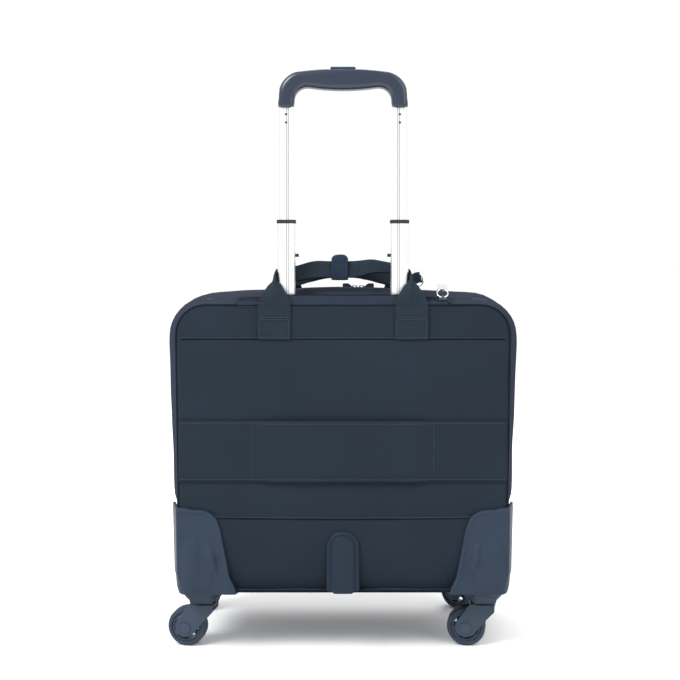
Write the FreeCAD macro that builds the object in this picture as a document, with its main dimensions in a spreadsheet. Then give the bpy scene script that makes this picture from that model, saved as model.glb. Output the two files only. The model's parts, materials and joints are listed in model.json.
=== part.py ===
import FreeCAD, Part
import Sketcher
import math
import os

# A rolling laptop case: a soft two-compartment case on four swivelling casters, with a two-stage
# pull handle behind its back panel. +Z is up, the floor is z = 0, X runs across the case and the
# pull handle is on the -Y side. Millimetres.

doc = FreeCAD.newDocument("rolling_laptop_case")
Vector = FreeCAD.Vector

# ---------------------------------------------------------------------------------------------
# Driving dimensions
# ---------------------------------------------------------------------------------------------
SIZES = [
    ("case_half_width", 215.5, "half the case's width at its fullest"),
    ("case_foot_taper", 8.5, "how much narrower each side is at the foot"),
    ("case_floor", 68.5, "height of the case's underside"),
    ("case_top", 440, "height of the case's top"),
    ("shoulder_back", -66, "depth where the back starts to taper in"),
    ("shoulder_front", 80, "depth where the front starts to taper in, on the main zip"),
    ("back_face", -104, "depth of the back panel's outer face"),
    ("front_face", 100, "depth of the lid's outer face"),
    ("back_half_width", 202.5, "half the back panel's width"),
    ("back_top", 427, "height of the back panel's top"),
    ("back_floor", 79, "height of the back panel's lower edge"),
    ("wall", 3, "thickness of the padded fabric walls"),
    ("lid_hinge_height", 96, "height of the fold that the lid turns on"),
    ("board", 3, "thickness of the stiffening boards"),
    ("tube_offset", 69.4, "half the distance between the handle tubes"),
    ("tube_depth", -84, "depth of the handle tubes' centres"),
    ("outer_wide", 25, "width of the fixed tubes"),
    ("outer_deep", 19.5, "depth of the fixed tubes"),
    ("middle_wide", 21.5, "width of the lower sliding tubes"),
    ("middle_deep", 16, "depth of the lower sliding tubes"),
    ("inner_wide", 17, "width of the upper sliding tubes"),
    ("inner_deep", 12.5, "depth of the upper sliding tubes"),
    ("tube_wall", 1.4, "wall thickness of every tube"),
    ("outer_low", 89, "height of the fixed tubes' lower ends"),
    ("bracket_low", 83, "height of the bracket under the fixed tubes"),
    ("bracket_tall", 18, "height of that bracket from top to bottom"),
    ("outer_high", 392, "height of the fixed tubes' upper ends"),
    ("middle_low", 225, "height of the lower sliding tubes' lower ends"),
    ("middle_high", 528, "height of the lower sliding tubes' upper ends"),
    ("collar_tall", 4.4, "height of the collars on the lower sliding tubes"),
    ("inner_low", 481.5, "height of the upper sliding tubes' lower ends"),
    ("inner_high", 690, "height of the upper sliding tubes' upper ends, inside the grip"),
    ("pin_height", 489, "height of the lock pins"),
    ("pin_radius", 2, "radius of the lock pins"),
    ("pin_proud", 4.3, "how far a lock pin stands out of its tube"),
    ("stage_travel", 135, "how far each stage slides down"),
    ("grip_deep", 22, "depth of the grip"),
    ("grip_low", 669, "height of the grip's lower ends"),
    ("grip_high", 716, "height of the grip's crown"),
    ("button_half_wide", 15.5, "half the release button's width"),
    ("button_travel", 3, "how far the release button is pressed"),
    ("button_top", 719, "height of the release button's top"),
    ("yoke_low", 699, "height of the underside of the yoke below the button"),
    ("yoke_high", 702.5, "height of the button's seat on the yoke"),
    ("rod_low", 505, "height of the release rods' lower ends"),
    ("caster_x", 175, "distance of the swivel axes from the middle, across"),
    ("caster_y", 68, "distance of the swivel axes from the middle, in depth"),
    ("wheel_radius", 24, "radius of the caster wheels"),
    ("wheel_wide", 20, "width of the caster wheels"),
    ("trail", 20, "how far each wheel's axle trails its swivel axis"),
    ("stem_radius", 4, "radius of the swivel stems"),
    ("stem_play", 0.06, "radial play of stems and axles in their bores"),
    ("axle_radius", 2.5, "radius of the wheel axles"),
    ("housing_low", 56, "height of the wheel housings' undersides"),
    ("housing_radius", 16.2, "radius of the wheel housings at their undersides"),
    ("crown_tall", 4.6, "thickness of the forks' crowns"),
    ("crown_gap", 1, "gap between a crown and its housing"),
    ("seat_radius", 12, "radius of the swivel seats"),
    ("seat_top", 78, "height of the swivel seats' tops"),
    ("seat_roof", 4, "thickness of the seats over the swivel stems"),
    ("guard_thick", 4, "thickness of the corner guards"),
    ("strap_x", 83.5, "distance of the carry straps' roots from the middle"),
    ("strap_wide", 40, "width of the carry straps' webbing"),
    ("sleeve_low", 213, "height of the luggage sleeve's lower edge"),
    ("sleeve_high", 288, "height of the luggage sleeve's upper edge"),
    ("sleeve_half_gap", 110.5, "half the width of the luggage sleeve's free stretch"),
]
sheet = doc.addObject("Spreadsheet::Sheet", "Sizes")
for row, (alias, value, meaning) in enumerate(SIZES, start=1):
    sheet.set(f"A{row}", meaning)
    sheet.set(f"B{row}", str(value))
    sheet.setAlias(f"B{row}", alias)
doc.recompute()
size = {alias: float(sheet.get(alias)) for alias, _, _ in SIZES}

PARTS = {}


def keep(node, obj):
    """Marks a document object as the sub-part that is written as parts/NODE.step."""
    obj.Label = node
    PARTS[node] = obj
    return obj


# ---------------------------------------------------------------------------------------------
# Parametric building blocks, each bound to the sheet
# ---------------------------------------------------------------------------------------------
def bind(obj, **expressions):
    """Binds properties to expressions on the sheet; a double underscore stands for a dot."""
    for prop, expression in expressions.items():
        obj.setExpression(prop.replace("__", "."), str(expression))


def block(name, wide, deep, tall, at):
    """A box of the given size whose lowest corner is at the three expressions in at."""
    obj = doc.addObject("Part::Box", name)
    bind(obj, Length=wide, Width=deep, Height=tall)
    bind(obj, Placement__Base__x=at[0], Placement__Base__y=at[1], Placement__Base__z=at[2])
    return obj


def rod(name, radius, length, at, axis=Vector(0, 0, 1)):
    """A cylinder from the point at, along axis."""
    obj = doc.addObject("Part::Cylinder", name)
    obj.Placement = FreeCAD.Placement(Vector(), FreeCAD.Rotation(Vector(0, 0, 1), axis))
    bind(obj, Radius=radius, Height=length)
    bind(obj, Placement__Base__x=at[0], Placement__Base__y=at[1], Placement__Base__z=at[2])
    return obj


def cut(name, base, tool):
    obj = doc.addObject("Part::Cut", name)
    obj.Base, obj.Tool = base, tool
    return obj


def fuse(name, *pieces):
    obj = doc.addObject("Part::MultiFuse", name)
    obj.Shapes = list(pieces)
    return obj


def group(name, *pieces):
    """Several separate solids that are one node."""
    obj = doc.addObject("Part::Compound", name)
    obj.Links = list(pieces)
    return obj


def mirrored(name, source, normal=Vector(1, 0, 0)):
    obj = doc.addObject("Part::Mirroring", name)
    obj.Source, obj.Normal, obj.Base = source, normal, Vector()
    return obj


def pair(name, source):
    """A piece and its mirror image across the middle of the case."""
    return group(name, source, mirrored(name + "_left", source))


def feature(name, shape, place=None):
    """A shape made with Part's own functions, for forms that no primitive or sketch fits."""
    obj = doc.addObject("Part::Feature", name)
    obj.Shape = shape
    obj.Placement = place or FreeCAD.Placement()
    return obj


def plane_of(body, role):
    return next(f for f in body.Origin.OriginFeatures if f.Role == role)


def rectangle(sketch, name, wide, deep):
    """A rectangle about the sketch's origin; wide and deep are expressions on the sheet."""
    first = sketch.GeometryCount
    corners = [Vector(x, y, 0) for x, y in ((-5, -4), (5, -4), (5, 4), (-5, 4))]
    for i, corner in enumerate(corners):
        sketch.addGeometry(Part.LineSegment(corner, corners[(i + 1) % 4]), False)
    constraint = Sketcher.Constraint
    for i in range(4):
        line, following = first + i, first + (i + 1) % 4
        sketch.addConstraint(constraint("Coincident", line, 2, following, 1))
        sketch.addConstraint(constraint("Horizontal" if i % 2 == 0 else "Vertical", line))
    sketch.addConstraint(constraint("Symmetric", first, 1, first + 1, 2, -1, 1))
    across = sketch.addConstraint(constraint("DistanceX", first, 1, first, 2, 10))
    upward = sketch.addConstraint(constraint("DistanceY", first + 1, 1, first + 1, 2, 8))
    sketch.renameConstraint(across, name + "_wide")
    sketch.renameConstraint(upward, name + "_deep")
    sketch.setExpression(f"Constraints.{name}_wide", wide)
    sketch.setExpression(f"Constraints.{name}_deep", deep)


def tube(name, wide, deep, low, high):
    """A hollow handle tube with rounded corners, padded from a sketch of its section."""
    body = doc.addObject("PartDesign::Body", name)
    sketch = body.newObject("Sketcher::SketchObject", name + "_section")
    sketch.AttachmentSupport = [(plane_of(body, "XY_Plane"), "")]
    sketch.MapMode = "FlatFace"
    rectangle(sketch, "outside", f"Sizes.{wide}", f"Sizes.{deep}")
    rectangle(sketch, "inside", f"Sizes.{wide} - 2 * Sizes.tube_wall",
              f"Sizes.{deep} - 2 * Sizes.tube_wall")
    pad = body.newObject("PartDesign::Pad", name + "_length")
    pad.Profile = sketch
    pad.setExpression("Length", f"Sizes.{high} - Sizes.{low}")
    doc.recompute()
    edges = [f"Edge{i}" for i, edge in enumerate(pad.Shape.Edges, start=1)
             if abs(edge.BoundBox.ZLength - pad.Length.Value) < 0.01
             and abs(edge.CenterOfMass.x) > size[wide] / 2 - 0.1]
    fillet = body.newObject("PartDesign::Fillet", name + "_corners")
    fillet.Base = (pad, edges)
    fillet.Radius = 3.2
    body.Tip = fillet
    bind(body, Placement__Base__x="Sizes.tube_offset", Placement__Base__y="Sizes.tube_depth",
         Placement__Base__z=f"Sizes.{low}")
    return body


# ---------------------------------------------------------------------------------------------
# Shapes for the soft goods
# ---------------------------------------------------------------------------------------------
def rounded_outline(corners, radii, place):
    """A closed wire through the corners, each rounded by an arc tangent to both of its sides."""
    count = len(corners)
    arcs = []
    for i, (corner, radius) in enumerate(zip(corners, radii)):
        here = Vector(*corner, 0)
        before = (Vector(*corners[i - 1], 0) - here).normalize()
        after = (Vector(*corners[(i + 1) % count], 0) - here).normalize()
        half = before.getAngle(after) / 2
        reach = radius / math.tan(half)
        inward = (before + after).normalize()
        middle = here + inward * (radius / math.sin(half) - radius)
        arcs.append([here + before * reach, middle, here + after * reach])
    edges = []
    for i, arc in enumerate(arcs):
        start, middle, end = [place(p.x, p.y) for p in arc]
        edges.append(Part.Arc(start, middle, end).toShape())
        following = place(arcs[(i + 1) % count][0].x, arcs[(i + 1) % count][0].y)
        if (following - end).Length > 1e-6:
            edges.append(Part.LineSegment(end, following).toShape())
    return Part.Wire(edges)


def upright(y):
    """Places a point of an outline in the vertical plane at depth y."""
    return lambda x, z: Vector(x, y, z)


def case_section(y, half_top, taper, low, high, top_radius, foot_radius, grow):
    """One section of the case across its depth, enlarged all round by grow."""
    half_foot = half_top - taper + grow
    half_top += grow
    corners = [(-half_foot, low - grow), (half_foot, low - grow),
               (half_top, high + grow), (-half_top, high + grow)]
    radii = [foot_radius + grow, foot_radius + grow, top_radius + grow, top_radius + grow]
    return rounded_outline(corners, radii, upright(y))


def case_form(grow):
    """The whole outside of the case, enlarged all round by grow."""
    taper = size["case_foot_taper"]
    full = (size["case_half_width"], taper, size["case_floor"], size["case_top"], 52, 30, grow)
    sections = [
        case_section(size["back_face"] - grow, size["back_half_width"], taper / 2,
                     size["back_floor"], size["back_top"], 36, 24, grow),
        case_section(size["shoulder_back"], *full),
        case_section(size["shoulder_front"], *full),
        case_section(size["front_face"] + grow, size["case_half_width"] - 6.5, taper,
                     size["case_floor"] + 4, size["case_top"] - 6, 46, 26, grow),
    ]
    back, front = [Part.makeLoft(sections[i:i + 2], True, True) for i in (0, 2)]
    depth = size["shoulder_front"] - size["shoulder_back"]
    middle = Part.Face(sections[1]).extrude(Vector(0, depth, 0))
    return middle.multiFuse([back, front]).removeSplitter()


def span(low, high):
    """A box between two corners."""
    low, high = Vector(*low), Vector(*high)
    return Part.makeBox(*(high - low), low)


def between(y_low, y_high, z_low=-50, z_high=900):
    """A slab across the whole case between two depths and two heights."""
    return span((-400, y_low, z_low), (400, y_high, z_high))


def prism(points, direction):
    """A closed polygon pushed along direction."""
    return Part.Face(Part.makePolygon(points + points[:1])).extrude(direction)


def ribbon(stations):
    """Webbing on edge along stations of (x, y, low, high, heading in degrees, thickness)."""
    sections = []
    for x, y, low, high, heading, thick in stations:
        turn = math.radians(heading)
        side = Vector(-math.sin(turn), math.cos(turn), 0) * (thick / 2)
        foot, head = Vector(x, y, low), Vector(x, y, high)
        corners = [foot - side, foot + side, head + side, head - side]
        sections.append(Part.makePolygon(corners + corners[:1]))
    runs = [Part.makeLoft(list(ends), True, True) for ends in zip(sections, sections[1:])]
    return runs[0].multiFuse(runs[1:])


def across(stations):
    """Stations on the right of the middle, with their mirror images after them."""
    left = [(-x, y, low, high, -heading, thick)
            for x, y, low, high, heading, thick in reversed(stations)]
    return stations + left


# ---------------------------------------------------------------------------------------------
# The case: walls, boards and panels
# ---------------------------------------------------------------------------------------------
outside = case_form(0)
walls = outside.cut(case_form(-size["wall"]))
back_inside = size["back_face"] + size["wall"]
front_inside = size["front_face"] - size["wall"]
hinge = size["lid_hinge_height"]
seam_gap = 1.5

SLOT_HALF = 128
SLOT_DEEP = (-101, -73)
slot_low, slot_high = size["case_top"] - 25, size["case_top"] + 20
slot = span((-SLOT_HALF, SLOT_DEEP[0], slot_low), (SLOT_HALF, SLOT_DEEP[1], slot_high))
lip_seat = span((-SLOT_HALF, -120, size["back_top"]), (SLOT_HALF, SLOT_DEEP[0] + 1, slot_high))


def caster_points():
    """The four swivel axes, near left first, as (side, end)."""
    return [(side, end) for end in (-1, 1) for side in (-1, 1)]


def swivel_holes(radius, low, high):
    """Four upright cylinders, one on each swivel axis."""
    holes = [Part.makeCylinder(radius, high - low,
                               Vector(side * size["caster_x"], end * size["caster_y"], low))
             for side, end in caster_points()]
    return holes[0].multiFuse(holes[1:])


seat_holes = swivel_holes(size["seat_radius"] + 0.4, 50, size["seat_top"] + 2)

gusset = walls.common(between(back_inside, size["shoulder_front"]))
gusset_foot = walls.common(between(size["shoulder_front"], 200, -50, hinge - seam_gap))
gusset = gusset.fuse(gusset_foot).cut(slot).cut(seat_holes).removeSplitter()
keep("case_gusset", feature("case_gusset", gusset))

back_panel = outside.common(between(-200, back_inside - 0.05)).cut(lip_seat)
keep("back_panel", feature("back_panel", back_panel))

board_back = size["shoulder_back"] - 6
inner_form = case_form(-size["wall"] - 0.4)
board = inner_form.common(between(board_back, board_back + size["board"]))
keep("trolley_board", feature("trolley_board", board.cut(seat_holes)))

floor_low = size["case_floor"] + size["wall"] + 0.6
floor_board = inner_form.common(between(board_back + size["board"] + 0.3,
                                        size["shoulder_front"], floor_low, floor_low + size["board"]))
keep("floor_board", feature("floor_board", floor_board.cut(seat_holes)))

sleeve_half = 190
sleeve_low = 79
sleeve_back = board_back + size["board"] + 0.3
sleeve_outer = span((-sleeve_half, sleeve_back, sleeve_low), (sleeve_half, -38, 330))
sleeve_inner = span((-sleeve_half + 4, sleeve_back + 3, sleeve_low + 5),
                    (sleeve_half - 4, -43, 340))
keep("laptop_sleeve", feature("laptop_sleeve", sleeve_outer.cut(sleeve_inner)))

lid_zone = between(size["shoulder_front"] + seam_gap, front_inside - 0.05, hinge + 1, 900)
keep("lid_gusset", feature("lid_gusset", walls.common(lid_zone)))
lid_panel = outside.common(between(front_inside, 200, hinge + 1, 900))
keep("lid_panel", feature("lid_panel", lid_panel))

tape_skin = case_form(1.2).cut(case_form(0.1))
above_hinge = hinge + 4
for node, y_low, y_high in (("case_zip_tape", -5.5, 0.3), ("lid_zip_tape", 1.2, 7)):
    shoulder = size["shoulder_front"]
    tape = tape_skin.common(between(shoulder + y_low, shoulder + y_high, above_hinge, 900))
    keep(node, feature(node, tape))

POCKET = {"half": 150, "low": 130, "high": 330, "wall": 2, "deep": 8}
pocket_face = size["front_face"] + 0.1
pocket = span((-POCKET["half"], pocket_face, POCKET["low"]),
              (POCKET["half"], size["front_face"] + POCKET["deep"], POCKET["high"]))
pocket_room = span((-POCKET["half"] + POCKET["wall"], pocket_face - 1, POCKET["low"] + POCKET["wall"]),
                   (POCKET["half"] - POCKET["wall"],
                    size["front_face"] + POCKET["deep"] - POCKET["wall"], POCKET["high"] + 10))
keep("front_pocket", feature("front_pocket", pocket.cut(pocket_room)))

# The lip along the near edge of the handle slot, which carries the slot's zip.
lip = [(-104, 427.05), (-104, 434), (-99.5, 440.5), (-96.5, 440.5), (-96.5, 437.5), (-101, 431),
       (-101, 427.05)]
lip_half = SLOT_HALF - 0.5
slot_lip = prism([Vector(-lip_half, y, z) for y, z in lip], Vector(2 * lip_half, 0, 0))
# Towards both ends it falls to a lower level, where the slot's slider runs.
lip_end_top = 434.6
for side in (-1, 1):
    fall = [(130, lip_end_top), (88, lip_end_top), (70, 441), (130, 441)]
    slot_lip = slot_lip.cut(prism([Vector(side * x, -110, z) for x, z in fall], Vector(0, 20, 0)))
keep("slot_lip", feature("slot_lip", slot_lip))

# The luggage sleeve: flat on the panel at both ends, standing off it along its free stretch.
sleeve_end = size["back_half_width"] - 3
free = size["sleeve_half_gap"]
on_panel, off_panel, cloth = size["back_face"] - 0.1, size["back_face"] - 5, 1.4
sleeve_path = [(-sleeve_end, on_panel), (-free, on_panel), (-free + 16, off_panel),
               (free - 16, off_panel), (free, on_panel), (sleeve_end, on_panel)]
sleeve_plan = sleeve_path + [(x, y - cloth) for x, y in reversed(sleeve_path)]
sleeve_rise = size["sleeve_high"] - size["sleeve_low"]
luggage_sleeve = prism([Vector(x, y, size["sleeve_low"]) for x, y in sleeve_plan],
                       Vector(0, 0, sleeve_rise))
keep("luggage_sleeve", feature("luggage_sleeve", luggage_sleeve))

# ---------------------------------------------------------------------------------------------
# Corner guards and the bumper between them
# ---------------------------------------------------------------------------------------------
guarded = case_form(0.3)
guard_form = case_form(size["guard_thick"])


def housing(side, end):
    """A wheel housing: a funnel that widens from its underside up to the guard."""
    low = size["housing_low"]
    stages = [(size["housing_radius"], low), (24, low + 8), (29, low + 24)]
    return [Part.makeCone(near, far, far_z - near_z,
                          Vector(side * size["caster_x"], end * size["caster_y"], near_z))
            for (near, near_z), (far, far_z) in zip(stages, stages[1:])]


def guard(side, end):
    """A moulded guard round one lower corner, with the housing of its caster under it."""
    if end < 0:
        face = [(212, 182), (167, 178.5), (154, 169), (149, 155), (138, 96), (131, 82), (128, 50),
                (215, 50)]
        face_from, face_to = -115, -98
    else:
        top = hinge - seam_gap - 2
        face = [(226, top), (140, top), (134, 84), (128, 50), (226, 50)]
        face_from, face_to = size["shoulder_front"] + 1, 112
    flank = [(-112, 182), (-70, 182), (-44, 150), (-34, 100), (-30, 50), (-112, 50)]
    if end > 0:
        flank = [(34, 50), (38, 100), (48, 150), (62, 176), (size["shoulder_front"] - 6.5, 182),
                 (size["shoulder_front"] - 6.5, 98), (size["shoulder_front"] + 2, hinge - 3.5),
                 (112, hinge - 3.5), (112, 50)]
    region = prism([Vector(side * x, face_from, z) for x, z in face],
                   Vector(0, face_to - face_from, 0))
    region = region.fuse(prism([Vector(side * 190, y, z) for y, z in flank],
                               Vector(side * 40, 0, 0)))
    near, far = sorted((end * 34, end * 114))
    left, right = sorted((side * 130, side * 230))
    sole_high = size["case_floor"] + 5
    region = region.fuse(span((left, near, 50), (right, far, sole_high)))
    pieces = housing(side, end)
    if end < 0:
        # A raised wedge down the near face, which sweeps in under the case to the housing.
        wedge = [(-104, 145), (-107.5, 145), (-110.3, 122), (-110.3, 86), (-106, 71), (-97, 61.5),
                 (-88, 57), (-72, 57), (-72, 90), (-104, 110)]
        wedge_near, wedge_wide = 161, 28
        pieces.append(prism([Vector(side * wedge_near, y, z) for y, z in wedge],
                            Vector(side * wedge_wide, 0, 0)))
    solid = guard_form.common(region).multiFuse(pieces)
    return solid.cut(guarded).cut(seat_holes).removeSplitter()


for side, end in caster_points():
    node = f"corner_guard_{'back' if end < 0 else 'front'}_{'left' if side < 0 else 'right'}"
    keep(node, feature(node, guard(side, end)))

bumper_rim = rounded_outline([(-20, 79), (20, 79), (20, 152.5), (-20, 152.5)], [2, 2, 19, 19],
                             upright(size["back_face"] - 0.1))
bumper_dome = rounded_outline([(-13.5, 76.5), (13.5, 76.5), (13.5, 146), (-13.5, 146)],
                              [4, 4, 12.5, 12.5], upright(size["back_face"] - 2))
bumper = Part.Face(bumper_rim).extrude(Vector(0, -3.2, 0))
bumper = bumper.fuse(Part.Face(bumper_dome).extrude(Vector(0, -4, 0)))
keep("centre_bumper", feature("centre_bumper", bumper.removeSplitter()))

seat = rod("seat_body", "Sizes.seat_radius", "Sizes.seat_top - Sizes.housing_low - 0.5",
           ("Sizes.caster_x", "Sizes.caster_y", "Sizes.housing_low + 0.5"))
seat_bore = rod("seat_bore", "Sizes.stem_radius + Sizes.stem_play",
                "Sizes.seat_top - Sizes.seat_roof - Sizes.housing_low + 6",
                ("Sizes.caster_x", "Sizes.caster_y", "Sizes.housing_low - 6"))
seat_right = cut("seat_right", seat, seat_bore)
seats_front = group("seats_front", seat_right, mirrored("seat_left", seat_right))
seats_back = mirrored("seats_back", seats_front, Vector(0, 1, 0))
keep("swivel_seats", group("swivel_seats", seats_front, seats_back))

# ---------------------------------------------------------------------------------------------
# Carry handles
# ---------------------------------------------------------------------------------------------
strap, half_strap = size["strap_x"], size["strap_wide"] / 2
strap_out = size["back_face"] - 0.2
flap = [(strap - half_strap, 387), (strap + half_strap, 387), (strap + half_strap, 427), (84, 470),
        (81, 470), (strap - half_strap, 427)]


def strap_flap(side):
    """The sewn root of one carry strap, drawn in to the fold above the panel."""
    return prism([Vector(side * x, strap_out, z) for x, z in flap], Vector(0, -2.2, 0))


rear_band = across([
    (82.5, -106, 446, 470, 90, 2.6), (83, -74, 453, 474, 90, 2.6), (76, -67.6, 454, 474, 150, 2.6),
    (58, -67, 455, 475, 180, 2.6), (16, -67, 461, 481, 180, 2.6)])
rear_handle = ribbon(rear_band).multiFuse([strap_flap(1), strap_flap(-1)])
keep("rear_carry_handle", feature("rear_carry_handle", rear_handle.removeSplitter()))

front_band = across([
    (78, 48, 440.8, 461, 247, 2.6), (44, -35, 454, 474, 240, 2.6), (20, -62.3, 461, 481, 180, 2.6)])
front_roots = [span((min(side * 64, side * 92), 44, 440.1), (max(side * 64, side * 92), 52, 441.6))
               for side in (-1, 1)]
front_handle = ribbon(front_band).multiFuse(front_roots)
keep("front_carry_handle", feature("front_carry_handle", front_handle.removeSplitter()))

wrap_outer = span((-14.5, -70.8, 457), (6.5, -58.4, 488))
wrap_room = span((-20, -68.8, 459.2), (10, -60.4, 485.5))
keep("handle_wrap", feature("handle_wrap", wrap_outer.cut(wrap_room)))

# ---------------------------------------------------------------------------------------------
# Pull handle: three pairs of tubes, the bottom bracket and the collars
# ---------------------------------------------------------------------------------------------
pin_slot = 5.2


def slotted(name, body, wide, low, high):
    """A tube with a slot down its inner side for the lock pin."""
    opening = block(name + "_slot", "2 * Sizes.tube_wall + 1", pin_slot, f"{high} - ({low})",
                    (f"Sizes.tube_offset - Sizes.{wide} / 2 - 1",
                     f"Sizes.tube_depth - {pin_slot} / 2", low))
    return cut(name + "_slotted", body, opening)


outer_tube = tube("outer_tube", "outer_wide", "outer_deep", "outer_low", "outer_high")
outer_tube = slotted("outer_tube", outer_tube, "outer_wide",
                     "Sizes.pin_height - 2 * Sizes.stage_travel - 4", "Sizes.outer_high + 1")
keep("outer_tubes", pair("outer_tubes", outer_tube))

middle_tube = tube("middle_tube", "middle_wide", "middle_deep", "middle_low", "middle_high")
middle_tube = slotted("middle_tube", middle_tube, "middle_wide",
                      "Sizes.pin_height - Sizes.stage_travel - 4", "Sizes.pin_height + 2.6")
keep("middle_tubes", pair("middle_tubes", middle_tube))


def grip_screw(name, radius, below, length):
    """A screw's head, sunk in the back of the upper tube, so far below the grip."""
    return rod(name, radius, length,
               ("Sizes.tube_offset", "Sizes.tube_depth - Sizes.inner_deep / 2 - 0.2",
                f"Sizes.grip_low - {below}"), Vector(0, 1, 0))


inner_tube = tube("inner_tube", "inner_wide", "inner_deep", "inner_low", "inner_high")
inner_hole = rod("inner_tube_hole", "Sizes.pin_radius + 0.3", 6,
                 ("Sizes.tube_offset - Sizes.inner_wide / 2 - 2", "Sizes.tube_depth",
                  "Sizes.pin_height"), Vector(1, 0, 0))
SCREW_DROPS = (8, 18)
screw_holes = [grip_screw(f"screw_hole_{drop}", 1.52, drop, 1.2) for drop in SCREW_DROPS]
drilled = cut("inner_tube_drilled", inner_tube, fuse("inner_tube_holes", inner_hole, *screw_holes))
keep("inner_tubes", pair("inner_tubes", drilled))
screws = [grip_screw(f"screw_{drop}", 1.5, drop, 1.2) for drop in SCREW_DROPS]
keep("grip_screws", pair("grip_screws", group("screws", *screws)))

collar_body = block("collar_body", "Sizes.middle_wide + 1.6", "Sizes.middle_deep + 1.6",
                    "Sizes.collar_tall",
                    ("Sizes.tube_offset - Sizes.middle_wide / 2 - 0.8",
                     "Sizes.tube_depth - Sizes.middle_deep / 2 - 0.8", "Sizes.middle_high"))
collar_room = block("collar_room", "Sizes.inner_wide + 0.8", "Sizes.inner_deep + 0.8",
                    "Sizes.collar_tall + 2",
                    ("Sizes.tube_offset - Sizes.inner_wide / 2 - 0.4",
                     "Sizes.tube_depth - Sizes.inner_deep / 2 - 0.4", "Sizes.middle_high - 1"))
keep("tube_collars", pair("tube_collars", cut("collar", collar_body, collar_room)))

bracket_body = block("bracket_body", "2 * Sizes.tube_offset + 40", 23, "Sizes.bracket_tall",
                     ("-Sizes.tube_offset - 20", "Sizes.tube_depth - 11.6", "Sizes.bracket_low"))
bracket_cup = block("bracket_cup", "Sizes.outer_wide + 0.4", "Sizes.outer_deep + 0.4", 40,
                    ("Sizes.tube_offset - Sizes.outer_wide / 2 - 0.2",
                     "Sizes.tube_depth - Sizes.outer_deep / 2 - 0.2", "Sizes.outer_low - 0.2"))
keep("tube_bracket", cut("tube_bracket", bracket_body, pair("bracket_cups", bracket_cup)))

# ---------------------------------------------------------------------------------------------
# Grip: two shells on the inner tubes, with the release mechanism between them
# ---------------------------------------------------------------------------------------------
tube_y = size["tube_depth"]


def grip_outline(y, inset=0.0):
    """The arch of the grip in the vertical plane at depth y, drawn in by inset along its length."""
    at = upright(y)
    low, high = size["grip_low"], size["grip_high"]
    slant = inset * 0.7
    points = {
        "foot": (78.6 - inset, low), "side": (78.2 - inset, low + 13),
        "bend": (72.9 - slant, high - 15.5 - slant), "brow": (56.8 - slant / 2, high - 4 - inset),
        "crown": (0, high - inset), "palm": (0, high - 25 + inset),
        "cheek": (42, high - 21.8 + inset), "crook": (54.3 + slant, high - 25.6 + slant),
        "inside": (59.8 + inset, high - 35), "toe": (60.5 + inset, low)}

    def place(name, side):
        x, z = points[name]
        return at(side * x, z)

    stretches = []
    for side in (1, -1):
        half = [Part.LineSegment(place("toe", side), place("foot", side)),
                Part.LineSegment(place("foot", side), place("side", side)),
                Part.Arc(place("side", side), place("bend", side), place("brow", side))]
        inner = [Part.Arc(place("cheek", side), place("crook", side), place("inside", side)),
                 Part.LineSegment(place("inside", side), place("toe", side))]
        stretches.append((half, inner))
    (right, right_inner), (left, left_inner) = stretches
    crown = [Part.Arc(place("brow", 1), place("crown", 1), place("brow", -1))]
    palm = [Part.Arc(place("cheek", -1), place("palm", 1), place("cheek", 1))]
    edges = right + crown + left[::-1] + left_inner[::-1] + palm + right_inner
    return Part.Wire([edge.toShape() for edge in edges])


def grip_cavity(half_x, half_y, low, high, centre=0.0):
    return span((centre - half_x, tube_y - half_y, low), (centre + half_x, tube_y + half_y, high))


grip_deep = size["grip_deep"]
half_deep, bevel = grip_deep / 2, 4
grip_core = Part.Face(grip_outline(tube_y - half_deep + bevel))
grip_arch = grip_core.extrude(Vector(0, grip_deep - 2 * bevel, 0))
for face in (-1, 1):
    grip_arch = grip_arch.fuse(Part.makeLoft(
        [grip_outline(tube_y + face * (half_deep - bevel)),
         grip_outline(tube_y + face * half_deep, bevel * 0.8)], True, True))
grip_arch = grip_arch.removeSplitter()
yoke_low, yoke_high = size["yoke_low"], size["yoke_high"]
yoke_half, rod_x = 68.5, 66.5
travel = size["button_travel"]
grip_rooms = [grip_cavity(size["inner_wide"] / 2 + 0.1, size["inner_deep"] / 2 + 0.1, 660,
                          size["inner_high"] + 0.2, side * size["tube_offset"])
              for side in (-1, 1)]
grip_rooms += [grip_cavity(2.3, 2.3, 680, yoke_low, side * rod_x) for side in (-1, 1)]
grip_rooms += [
    grip_cavity(69, 3.2, yoke_low - travel - 0.7, yoke_high + 0.6),
    grip_cavity(14, 3.2, 692.7, yoke_low),
    grip_cavity(size["button_half_wide"] + 0.4, 7.4, yoke_low - travel - 0.7, 740)]
hollow_grip = grip_arch.cut(grip_rooms[0].multiFuse(grip_rooms[1:]))
keep("grip_back_shell",
     feature("grip_back_shell", hollow_grip.common(between(-200, tube_y - 0.02))))
keep("grip_front_shell",
     feature("grip_front_shell", hollow_grip.common(between(tube_y + 0.02, 200))))

button_body = block("button_body", "2 * Sizes.button_half_wide", 14,
                    "Sizes.button_top - Sizes.yoke_high",
                    ("-Sizes.button_half_wide", "Sizes.tube_depth - 7", "Sizes.yoke_high"))
doc.recompute()
button = doc.addObject("Part::Fillet", "button")
button.Base = button_body
button.Edges = [(i, 2.5, 2.5) for i, edge in enumerate(button_body.Shape.Edges, start=1)
                if edge.CenterOfMass.z > yoke_high + 0.5 and edge.BoundBox.XLength + edge.BoundBox.YLength > 0
                and edge.BoundBox.ZLength < 0.01]
keep("release_button", button)

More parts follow.
